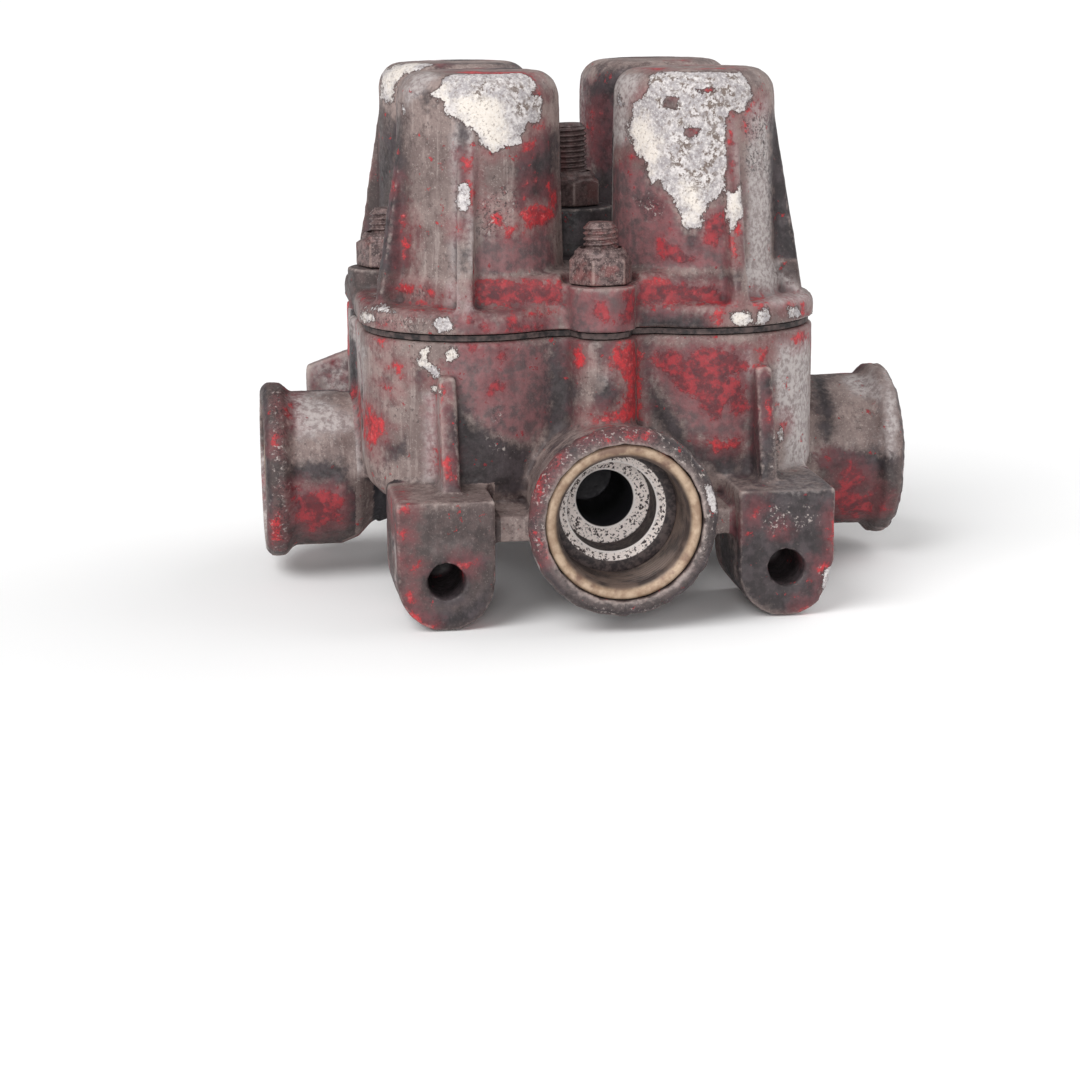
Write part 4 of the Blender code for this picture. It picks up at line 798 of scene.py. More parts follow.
            [(-22, -50), (-10, -56), (10, -56), (22, -50), (14, -62), (-14, -62)],
        ],
    },
    "dome_rl": {
        "bare": [
            [(-43.5, 53.5), (-43.5, 57), (-41.5, 59.5), (-38.5, 63), (-32.5, 67), (-31, 64), (-35, 59),
             (-38.5, 57.5), (-40.5, 54), (-41.5, 49.5), (-43, 48.5), (-44, 50.5)],
        ],
        "cream": [
            [(-43.5, 52), (-41, 59.5), (-34.5, 66), (-38.5, 57.5), (-42, 49.5)],
        ],
        "soot_and_shade": [
            [(-42, 47), (-40, 20), (-40, 0), (-62, 0), (-54, 25), (-46, 50)],
        ],
        "dark": [
            [(-29.5, 69), (-11, 61.5), (-8.5, 58.5), (-22.5, 65.5), (-30, 61.5)],
            [(-45, 31.5), (-41.5, 45), (-39.5, 42), (-43.5, 27.5), (-47.5, 11.5), (-51, 0.5),
             (-52.5, 2), (-49, 16.5)],
        ],
        "red": [
            [(-30.5, 65), (-29, 65.5), (-29.5, 64), (-30.5, 64)],
        ],
    },
    "dome_rr": {
        "red": [
            [(8, 46), (10, 47.5), (11.5, 46), (12, 37), (9.5, 34), (8, 39)],
            [(7, 43), (8, 43.5), (8, 41.5), (7, 41)],
            [(26.5, 67), (31, 66), (30.5, 64), (27, 66.5)],
        ],
        "dark": [
            [(8, 52.5), (11, 53), (12.5, 49), (10, 48), (8, 46.5), (8, 36.5), (9.5, 33), (7, 32.5)],
        ],
        "dust": [
            [(7, 53.5), (14.5, 57.5), (14, 31), (6, 32)],
        ],
        "pale": [
            [(5.5, 53.5), (7, 57), (7, 43.5), (6.5, 42.5)],
        ],
    },
}

LAYERS = ("bare", "cream", "fleck", "dark", "speck", "red", "dust", "pale", "soot_and_shade", "hole")
SPREAD = {  # where there are no outlines: how wide a layer's patches are, and the level and the gain of their noise
    "bare": (17, -8.5, 9),
    "red": (11, -4.6, 7),
    "dark": (20, -3.5, 9),
    "dust": (26, -1.0, 9),
    "pale": (23, -1.5, 8),
    "soot_and_shade": (18, -1.5, 9),
}
TOWARDS_FRONT = np.array([-0.148, -0.963, 0.223])  # a little from the left and from above
DOME_CURVE = 52.0  # height at which a dome's wall starts to curve in

# Where the zones of the outlines end. A pair is the place where one ends and the place where it is whole.
LUG_FRONT_ZONE = -42.0
LUG_TOP = -33.2
LUG_INNER = 26.0
LIP_BACK = -68.0
LIP_SIDE = 23.0
FRONT_DOMES = (-18, -24)
REAR_DOMES = (32, 26)
DOME_FOOT = 12.2
PLINTH_FADE = (15.2, DOME_FOOT)
PORT_ZONE = (4, -6)
FRONT_HALF = (-1, -12)
LUG_FADE = (LUG_FRONT_ZONE, -50)
LEFT_PORT_EDGE = -55.0
RIGHT_PORT_EDGE = 56.0


def depth_inside(spots, outline):
    """How many millimetres inside an outline each spot is, or below 0 how far outside it."""
    inside = np.zeros(len(spots), bool)
    nearest = np.full(len(spots), np.inf)
    x, y = spots.T
    for (ax, ay), (bx, by) in zip(outline, outline[1:] + outline[:1]):
        ex, ey = bx - ax, by - ay
        share = np.clip(((x - ax) * ex + (y - ay) * ey) / max(ex * ex + ey * ey, TINY), 0, 1)
        nearest = np.minimum(nearest, np.hypot(x - ax - share * ex, y - ay - share * ey))
        if ay != by:
            inside ^= ((ay > y) != (by > y)) & (x < ax + ex * (y - ay) / ey)
    return np.where(inside, nearest, -nearest)


def front_chart(points):
    """X, and the height that runs on over the domes' tops."""
    away = np.hypot(np.abs(points[:, 0]) - CIRCUIT, np.abs(points[:, 1]) - CIRCUIT)
    over = np.where(points[:, 2] > DOME_CURVE, np.maximum(DOME_SHOULDER - away, 0), 0)
    return np.stack([points[:, 0], points[:, 2] + over], axis=1)


def zones(points, facing):
    """How much each point belongs to each part of the outlines, from 0 to 1. Facing is 1 where it faces the front."""
    x, y, z = points.T
    lug = (y < LUG_FRONT_ZONE) & (z < LUG_TOP) & (np.abs(x) > LUG_INNER)
    lip = (y < LIP_BACK) & (np.abs(x) < LIP_SIDE)
    front_dome = smoothstep(y, *FRONT_DOMES) * (z > DOME_FOOT)
    rear_dome = smoothstep(y, *REAR_DOMES) * (y > 0) * (z > DOME_FOOT)
    port = smoothstep(y, *PORT_ZONE) * (z < 0)
    near = smoothstep(y, *FRONT_HALF)
    weights = {
        "dome_fl": front_dome * (x < 0),
        "dome_fr": front_dome * (x >= 0),
        "dome_rl": rear_dome * (x < 0),
        "dome_rr": rear_dome * (x >= 0),
        "base": near * (z > 0) * smoothstep(z, *PLINTH_FADE),
        "port_left": port * (x < LEFT_PORT_EDGE),
        "port_right": port * (x > RIGHT_PORT_EDGE),
        "lugs": smoothstep(y, *LUG_FADE) * lug,
        "lip": lip * 1.0,
        "wall": near * (z < 0) * (np.abs(x) < RIGHT_PORT_EDGE) * ~lug * ~lip,
    }
    seen = smoothstep(facing + 0.05 * noise(points, 4, 77, 2), 0.05, 0.25)
    return {part: weight * seen for part, weight in weights.items()}


def drawn_depth(spots, outlines):
    """How deep each spot is inside the deepest of these outlines."""
    deepest = np.full(len(spots), FAR)
    for outline in outlines:
        low = np.min(outline, axis=0) + FAR
        high = np.max(outline, axis=0) - FAR
        near = np.where(np.all((spots > low) & (spots < high), axis=1))[0]
        deepest[near] = np.maximum(deepest[near], depth_inside(spots[near], outline))
    return deepest


def worn_layers(points, normals, parts, seed):
    """The depth of every layer at every point, from the outlines at the front and from noise elsewhere."""
    chart = front_chart(points)
    weights = zones(points, normals @ TOWARDS_FRONT)
    painted = {layer: np.full(len(points), FAR) for layer in LAYERS}
    for number, (layer, (size, level, gain)) in enumerate(SPREAD.items()):
        lumps = level + gain * noise(points, size, seed + 5 * number, 3)
        painted[layer] = np.maximum(lumps, FAR)
    for part in parts:
        where = np.where(weights[part] > 0)[0]
        for layer in LAYERS:
            drawn = drawn_depth(chart[where], PATCHES[part].get(layer, []))
            painted[layer][where] += (drawn - painted[layer][where]) * weights[part][where]
    painted["bare"] = np.minimum(painted["bare"], -painted.pop("hole"))
    return painted


# ---------------------------------------------------------------- castings


def voxel_copy(node, size):
    """Points (mm, valve frame) and quads of an even mesh over a CAD node's surface."""
    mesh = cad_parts[node].data.copy()
    bm = bmesh.new()
    bm.from_mesh(mesh)
    bmesh.ops.remove_doubles(bm, verts=bm.verts, dist=0.001 * MM)
    bm.to_mesh(mesh)
    bm.free()
    helper = bpy.data.objects.new("voxels", mesh)
    bpy.context.scene.collection.objects.link(helper)
    remesh = helper.modifiers.new("voxels", "REMESH")
    remesh.mode = "VOXEL"
    remesh.voxel_size = size * MM
    remesh.adaptivity = 0
    evaluated = helper.evaluated_get(bpy.context.evaluated_depsgraph_get())
    even = evaluated.to_mesh()
    points = np.empty(len(even.vertices) * 3)
    even.vertices.foreach_get("co", points)
    faces = np.empty(len(even.loops), int)
    even.loops.foreach_get("vertex_index", faces)
    evaluated.to_mesh_clear()
    bpy.data.objects.remove(helper)
    return points.reshape(-1, 3) / MM - ORIGIN, faces.reshape(-1, 4)


class Skin:
    """An even quad mesh that is smoothed, roughened and painted point by point."""

    def __init__(self, node):
        self.node = node
        self.points, self.faces = voxel_copy(node, VOXEL)
        sides = [self.faces[:, [corner, (corner + 1) % 4]] for corner in range(4)]
        self.pairs = np.unique(np.sort(np.concatenate(sides), axis=1), axis=0)
        self.degree = np.bincount(self.pairs.ravel(), minlength=len(self.points)).astype(float)
        self.low, self.high = cad_box(node)

    def around(self, values):
        """The mean of each point's neighbours."""
        values = values.reshape(len(values), -1)
        total = np.zeros_like(values)
        for axis in range(values.shape[1]):
            first = np.bincount(self.pairs[:, 0], values[self.pairs[:, 1], axis], len(values))
            second = np.bincount(self.pairs[:, 1], values[self.pairs[:, 0], axis], len(values))
            total[:, axis] = first + second
        return (total / self.degree[:, None]).reshape(values.shape)

    def smooth(self, weight):
        for _ in range(ROUNDS):
            self.points += (self.around(self.points) - self.points) * weight[:, None]

    def normals(self):
        a, b, c, d = (self.points[self.faces[:, i]] for i in range(4))
        face = np.cross(c - a, d - b)
        total = np.zeros_like(self.points)
        for corner in range(4):
            for axis in range(3):
                total[:, axis] += np.bincount(self.faces[:, corner], face[:, axis], len(self.points))
        return total / np.maximum(np.linalg.norm(total, axis=1), TINY)[:, None]

    def edges(self, rounds=3):
        """Above 0 at outside edges and below 0 in corners."""
        bend = np.sum((self.points - self.around(self.points)) * self.normals(), axis=1)
        for _ in range(rounds):
            bend = 0.5 * bend + 0.5 * self.around(bend)[:, 0]
        return bend

    def cast_grain(self, seed):
        """The low lumps and the finer grain of a sand-worn surface, in millimetres."""
        return 0.10 * noise(self.points, 7.0, seed, 2) + 0.05 * noise(self.points, 1.7, seed + 1, 2)

    def at_least(self, layer, values):
        self.paint[layer] = np.maximum(self.paint[layer], values)

    def made(self, material):
        self.points = np.clip(self.points, self.low, self.high)
        mesh = mesh_from(self.node + "_casting", self.points, self.faces.tolist())
        for name, values in self.paint.items():
            fill(mesh, name, values)
        return new_object(self.node + "_casting", mesh, material, self.node)


def make_cover(material):
    skin = Skin("upper_cover")
    points = skin.points
    skin.smooth(np.where(points[:, 2] < 1.6, HOLD, SMOOTH))
    normal = skin.normals()
    height = points[:, 2]
    out = np.hypot(points[:, 0], points[:, 1])
    edge = skin.edges() * smoothstep(height, 1.0, 3.5)
    rim = smoothstep(height, 8.5, 6.5) * smoothstep(out, 40, 46)
    rough = skin.cast_grain(3) - rim * 0.35 * np.abs(noise(points, 5.5, 11, 3))
    points += normal * (rough * (height > 1.4))[:, None]
    parts = ("dome_fl", "dome_fr", "dome_rl", "dome_rr", "base")
    skin.paint = {"edge": edge, **worn_layers(points, normal, parts, 50)}
    # Painted shade in the well round the centre stud between the four domes: dark there, with no bare, pale or red.
    centre_well_shade = np.where(points[:, 2] > PLINTH_TOP, 19 - np.hypot(points[:, 0], points[:, 1]), FAR)
    skin.at_least("dark", centre_well_shade)
    for layer in ("bare", "pale", "red"):
        skin.paint[layer] = np.minimum(skin.paint[layer], -centre_well_shade)
    return skin.made(material)


def port_distances(points, side):
    """How far out along a port's axis each point is, and how far from that axis."""
    x, y = SIDES[side]
    out = points[:, 0] * x + points[:, 1] * y
    across = points[:, 0] * y - points[:, 1] * x
    return out, np.hypot(across, points[:, 2] - PORT_HEIGHT)


def pocket_floor(side):
    """How far out the floor of a bush's pocket is."""
    return PORT_REACH[side] - BUSH_RECESS - BUSH_LENGTH - GAP


def widen_bores(points):
    """Moves the bores behind the bushes out a little, to leave room for the sleeves on them."""
    for side, (x, y) in SIDES.items():
        out, away = port_distances(points, side)
        behind = (out > PORT_ROOT) & (out < pocket_floor(side) + 1.0) & (away < 13.2)
        grow = np.where(behind, 0.7 / np.maximum(away, 3), 0)
        across = np.stack([points[:, 0] - out * x, points[:, 1] - out * y, points[:, 2] - PORT_HEIGHT], axis=1)
        points += across * grow[:, None]


def housing_roughness(skin):
    """How far each point of the housing stands off its smooth shape: cast grain, chipped lips, a broken lug."""
    points = skin.points
    x, y, z = points.T
    rough = skin.cast_grain(5)
    broken = smoothstep(x, 45.5, 49) * smoothstep(z, -50, -53) * (y < -50)
    rough -= broken * (0.6 + 0.9 * np.abs(noise(points, 3.5, 8, 3)))
    outside = z <= -1.6
    for side, reach in PORT_REACH.items():
        out, away = port_distances(points, side)
        outside &= (out <= PORT_ROOT) | (away >= BUSH_BORE + 0.8)
        lip = smoothstep(out, reach - 9, reach - 6) * smoothstep(away, PORT_NECK, 20)
        rough -= lip * 0.45 * np.abs(noise(points, 4.0, 9, 3))
    return rough * outside


def paint_ports(skin):
    """Painted shade in the bores and chambers, and a pale and a dark ring on each port's face."""
    points = skin.points
    x, y, z = points.T
    inside = (np.hypot(x, y) < 34) & (z > -45) & (z < -6)
    for side, reach in PORT_REACH.items():
        out, away = port_distances(points, side)
        inside |= (out > PORT_ROOT) & (out < reach - 20) & (away < BUSH_INNER - 0.4)
        face = (out > reach - 1.6) & (away > 17.9) & (away < 22)
        skin.at_least("pale", np.where(face, 1.2 - 1.2 * np.abs(away - 19), FAR))
        skin.at_least("dark", np.where(face, 1.2 - 3 * np.abs(away - 20.3), FAR))
    # The bores and chambers get painted shade.
    skin.paint["inside"] = inside


def make_housing(material):
    skin = Skin("lower_housing")
    weight = np.full(len(skin.points), SMOOTH)
    for side in SIDES:
        out, away = port_distances(skin.points, side)
        weight[(out > PORT_ROOT) & (away < BUSH_BORE + 1.2)] = 0.1
    weight[skin.points[:, 2] > -1.8] = HOLD
    skin.smooth(weight)
    points = skin.points
    widen_bores(points)
    normal = skin.normals()
    edge = skin.edges() * smoothstep(points[:, 2], -1.0, -3.5)
    points += normal * housing_roughness(skin)[:, None]
    parts = ("wall", "port_left", "port_right", "lugs", "lip")
    skin.paint = {"edge": edge, **worn_layers(points, normal, parts, 90)}
    paint_ports(skin)
    for x in LUG_HOLES:
        hole = LUG_HOLE - np.hypot(points[:, 0] - x, points[:, 2] - LUG_HOLE_HEIGHT)
        skin.at_least("dark", np.where(points[:, 1] < LUG_FRONT, hole, FAR))
    return skin.made(material)


# ---------------------------------------------------------------- fasteners, bushes and bores


def make_stud(name, material):
    """A stud with an M8 thread on what stands out of its nut, and a worn, rounded end."""
    (x, y), boss, top, _ = STUDS[name]
    columns = 56
    plain = boss + NUT_GRIP
    threaded = np.arange(plain, top - 0.02, STUD_PITCH / 9)
    heights = np.concatenate([[STUD_ROOT, STUD_ROOT + 0.5, plain - 0.4], threaded, [top]])
    cut = thread(heights, STUD_PITCH, STUD_THREAD, columns)
    cut *= smoothstep(heights, plain - 0.1, plain + 0.6)[:, None]
    end = STUD - 1.35 * smoothstep(heights, top - 1.7, top + 0.35) ** 1.2
    radii = np.minimum(STUD - cut, end[:, None])
    radii[0] *= 0.9
    ring = turned_points(radii, heights, columns)
    cap = turned_points([radii[-1].mean() * share for share in (0.82, 0.45)], [top, top], columns)
    points = np.concatenate([ring, cap, [[0, 0, top - 0.05]], [[0, 0, STUD_ROOT]]])
    rows = len(heights) + 2
    faces = ring_faces(rows, columns)
    last = (rows - 1) * columns
    for column in range(columns):
        beside = (column + 1) % columns
        faces.append((last + column, last + beside, last + columns))
        faces.append((beside, column, last + columns + 1))
    mesh = mesh_from("stud_" + name, points + np.array([x, y, 0]), faces)
    # The centre stud gets painted shade, for the well between the domes it stands in.
    fill(mesh, "grime", name == "centre")
    return new_object(f"stud_{name}_threaded", mesh, material, "stud_" + name)


def hexagon(turn, columns):
    """How far a nut's worn hexagon reaches in each direction."""
    angles = np.arange(columns) * math.tau / columns
    sector = math.pi / 3
    across = (angles - math.radians(turn)) % sector - sector / 2
    return np.minimum(NUT_FLATS / 2 / np.cos(across), NUT_CORNERS)


def make_nut(name, material):
    """A hexagon nut with worn corners and a rounded locking shoulder."""
    (x, y), boss, _, turn = STUDS[name]
    columns = 120
    heights = np.concatenate([[0.0, 0.25, 0.7], np.linspace(1.4, 5.4, 8), np.linspace(5.7, NUT_HEIGHT, 11)])
    flat = np.repeat(hexagon(turn, columns)[None, :], len(heights), axis=0)
    shoulder = 7.75 - 1.75 * smoothstep(heights, 5.0, 6.5) - smoothstep(heights, 6.9, NUT_HEIGHT + 0.2)
    foot = 7.1 + 0.6 * smoothstep(heights, 0, 0.6)
    limit = np.minimum(shoulder, foot)[:, None]
    soft = 0.07  # how softly the flats run into the shoulder
    radii = -soft * np.log(np.exp(-flat / soft) + np.exp(-limit / soft))
    wear = 0.09 * noise(turned_points(radii, heights, columns), 2.2, 40 + len(name), 2)
    radii = radii - np.abs(wear).reshape(radii.shape) * smoothstep(heights, 0.2, 1.0)[:, None]
    outer = turned_points(radii, heights, columns)
    mouth = radii[-1].mean()
    inner_heights = [NUT_HEIGHT, NUT_HEIGHT, NUT_HEIGHT - 0.7, NUT_HEIGHT - 2.0, 1.0, 0.0, 0.0]
    inner_radii = [mouth - 0.45, 4.75, 4.12, 4.1, 4.1, 4.3, 6.0]
    inner = turned_points(inner_radii, inner_heights, columns)
    faces = ring_faces(len(heights) + len(inner_radii), columns, close_rows=True)
    points = np.concatenate([outer, inner]) + np.array([x, y, boss + GAP])
    mesh = mesh_from("nut_" + name, points, faces)
    corner = smoothstep(flat, 7.1, NUT_CORNERS) * smoothstep(heights, 6.4, 5.4)[:, None]
    fill(mesh, "edge", np.concatenate([corner.ravel(), np.zeros(len(inner))]))
    # The centre nut gets painted shade, for the well between the domes it stands in.
    fill(mesh, "grime", name == "centre")
    return new_object(f"nut_{name}_worn", mesh, material, "nut_" + name)


def bush_sizes(name):
    """A bush's outer and inner radius, its length, its outer end, and its axis as a point and a direction."""
    if name == "supply":
        sizes = (SUPPLY_BUSH_OUTER, SUPPLY_BUSH_INNER, SUPPLY_BUSH_LENGTH, SUPPLY_REACH - BUSH_RECESS)
        return (*sizes, SUPPLY_PORT, (0, 1, 0))
    sizes = (BUSH_OUTER, BUSH_INNER, BUSH_LENGTH, PORT_REACH[name] - BUSH_RECESS)
    return (*sizes, (0, 0, PORT_HEIGHT), (*SIDES[name], 0))


def make_bush(name, material):
    """A threaded ring in a port's mouth."""
    outer, inner, length, mouth, at, direction = bush_sizes(name)
    columns = 128
    pitch = 1.5
    rim = [  # radius and how far behind the mouth, from the outer wall's back over the rounded rim into the bore
        (outer, length),
        (outer, 0.7),
        (outer - 0.25, 0.18),
        (outer - 0.7, 0),
        (inner + 1.5, 0.05),
        (inner + 1.05, 0.3),
        (inner + 0.45, 1.1),
        (inner, 1.9),
    ]
    inside = np.arange(mouth - 2.0, mouth - length + 0.4, -pitch / 8)
    grooves = thread(inside, pitch, 0.55, columns)
    grooves *= smoothstep(mouth - inside, 2.0, 3.6)[:, None]
    rim_radii, behind = np.array(rim).T
    back = np.full((1, columns), inner + 0.4)
    radii = np.concatenate([np.repeat(rim_radii[:, None], columns, axis=1), inner + grooves, back])
    heights = np.concatenate([mouth - behind, inside, [mouth - length]])
    points = aimed(turned_points(radii, heights, columns), direction, at)
    mesh = mesh_from("bush_" + name, points, ring_faces(len(radii), columns, close_rows=True))
    # How far inside the bush, for its painted shade.
    fill(mesh, "deep", np.repeat(smoothstep(mouth - heights, 0.2, 1.0), columns))
    return new_object(f"port_bush_{name}_threaded", mesh, material, "port_bush_" + name)


def make_bore(name, material):
    """The machined steps of a port behind its bush, as a thin sleeve that lies on the casting's bore."""
    hole_end = pocket_floor(name) - 19.0
    # The rim rows carry a painted highlight and the hole rows painted shade.
    profile = [  # radius, how far behind the pocket's floor, and how far it is a shoulder, a bright rim or the hole
        (17.6, -0.15, 0, 0, 0),
        (17.6, -0.18, 0, 0, 0),
        (12.3, -0.18, 0, 0, 0),
        (12.1, -0.18, 1, 0, 0),
        (11.8, -0.02, 1, 0, 0),
        (10.9, 0.8, 1, 0, 0),
        (10.5, 1.1, 1, 1, 0),
        (10.3, 1.4, 1, 1, 0),
        (10.3, 1.6, 0, 0, 0),
        (10.3, 5.0, 0, 0, 0),
        (10.3, 9.0, 0, 0, 0),
        (10.2, 9.2, 0, 0, 0),
        (10.0, 9.3, 1, 0, 0),
        (8.6, 9.9, 1, 0, 0),
        (7.3, 10.5, 1, 0, 0),
        (7.0, 10.7, 1, 1, 0),
        (6.75, 11.0, 1, 1, 0),
        (6.6, 11.3, 0, 0, 1),
        (6.6, 18.0, 0, 0, 1),
        (6.6, hole_end, 0, 0, 1),
        (6.75, hole_end, 0, 0, 1),
        (6.75, 13.1, 0, 0, 1),
        (9.3, 10.5, 0, 0, 0),
        (10.45, 10.45, 0, 0, 0),
        (10.45, 1.2, 0, 0, 0),
        (11.85, 0.05, 0, 0, 0),
        (12.3, -0.05, 0, 0, 0),
    ]
    columns = 96
    radii, behind, *marks = zip(*profile)
    points = turned_points(radii, pocket_floor(name) - np.array(behind), columns)
    faces = ring_faces(len(profile), columns, close_rows=True)
    mesh = mesh_from("bore_" + name, aimed(points, (*SIDES[name], 0), (0, 0, PORT_HEIGHT)), faces)
    for mark, values in zip(("shoulder", "rim", "hole"), marks):
        fill(mesh, mark, np.repeat(values, columns))
    return new_object(f"port_bore_{name}", mesh, material)


# ---------------------------------------------------------------- springs and diaphragms


def make_flexible(node, points, faces, finish):
    """A piece that stands for its CAD node on no body, with its place baked into its mesh."""
    piece = new_object(node + "_flexible", mesh_from(node, points, faces), finish, node, body=None)
    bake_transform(piece)


def make_spring(circuit, finish):
    """A coil spring with closed, flat ends."""
    node = "pressure_spring_" + circuit
    low, high = cad_box(node)
    foot, head = low[2], high[2]
    steps = 40
    sides = 14
    turns = np.arange(SPRING_TURNS * steps + 1) / steps
    first = foot + SPRING_WIRE - GROUND
    last = head - SPRING_WIRE + GROUND
    stops = [first, first + CLOSE_TURN, last - CLOSE_TURN, last]
    height = np.interp(turns, [0, 1, SPRING_TURNS - 1, SPRING_TURNS], stops)[:, None]
    angle = turns[:, None] * math.tau
    section = np.arange(sides) * math.tau / sides
    radius = (high[1] - low[1]) / 2 - SPRING_WIRE + SPRING_WIRE * np.cos(section)
    height = np.clip(height + SPRING_WIRE * np.sin(section), foot, head)
    points = np.stack([radius * np.cos(angle), radius * np.sin(angle), height], axis=2).reshape(-1, 3)
    points[:, :2] += (low[:2] + high[:2]) / 2
    faces = ring_faces(len(turns), sides)
    faces += [tuple(range(sides))[::-1], tuple(range(len(points) - sides, len(points)))]
    make_flexible(node, points, faces, finish)


def slope(start, end):
    """Points of a profile from start to end, close enough together to bend."""
    return [tuple(point) for point in np.linspace(start, end, 9)]


def make_diaphragm(circuit, finish):
    """A moulded rubber disc that the castings hold by its rim."""
    node = "diaphragm_" + circuit
    low, high = cad_box(node)
    under, top = low[2], high[2]
    web = under + WEB_THICK
    rim_under = -top
    rim = (high[1] - low[1]) / 2
    profile = [
        (WEB_MIDDLE, web),
        (UPPER_SLOPE[0] - RUBBER_ROUND, web),
        *slope((UPPER_SLOPE[0], web), (UPPER_SLOPE[1], top)),
        (rim - RUBBER_ROUND, top),
        (rim, top - RUBBER_ROUND),
        (rim, rim_under + RUBBER_ROUND),
        (rim - RUBBER_ROUND, rim_under),
        *slope((UNDER_SLOPE[1], rim_under), (UNDER_SLOPE[0], under)),
        (WEB_MIDDLE, under),
    ]
    columns = 72
    points = turned_points(*zip(*profile), columns)
    last = len(points)
    points = np.concatenate([points, [[0, 0, web], [0, 0, under]]])
    points[:, :2] += (low[:2] + high[:2]) / 2
    faces = ring_faces(len(profile), columns)
    for column in range(columns):
        beside = (column + 1) % columns
        faces.append((beside, column, last))
        faces.append((last - columns + column, last - columns + beside, last + 1))
    faces = [face[::-1] for face in faces]
    make_flexible(node, points, faces, finish)


# ---------------------------------------------------------------- finishes


def grime_colour(s, fine, other_small, middle):
    """Bare grey-brown grime, with streaks and specks: what all other layers lie on."""
    broad = s.noise(12, 4, 0.6, 3)
    colour = s.tones(broad, 0.36, 0.64, srgb(108, 92, 89), srgb(142, 125, 120))
    colour = s.tones(middle, 0.48, 0.68, colour, srgb(88, 73, 71))
    streaks = s.streaks(1.6, 22, 19)
    colour = s.flecks(colour, streaks, 0.54, 0.66, 0.4, srgb(84, 70, 69))
    colour = s.flecks(colour, streaks, 0.46, 0.36, 0.35, srgb(168, 154, 149))
    colour = s.flecks(colour, fine, 0.54, 0.68, 0.6, srgb(172, 160, 154))
    return s.flecks(colour, other_small, 0.56, 0.68, 0.75, srgb(66, 54, 53))


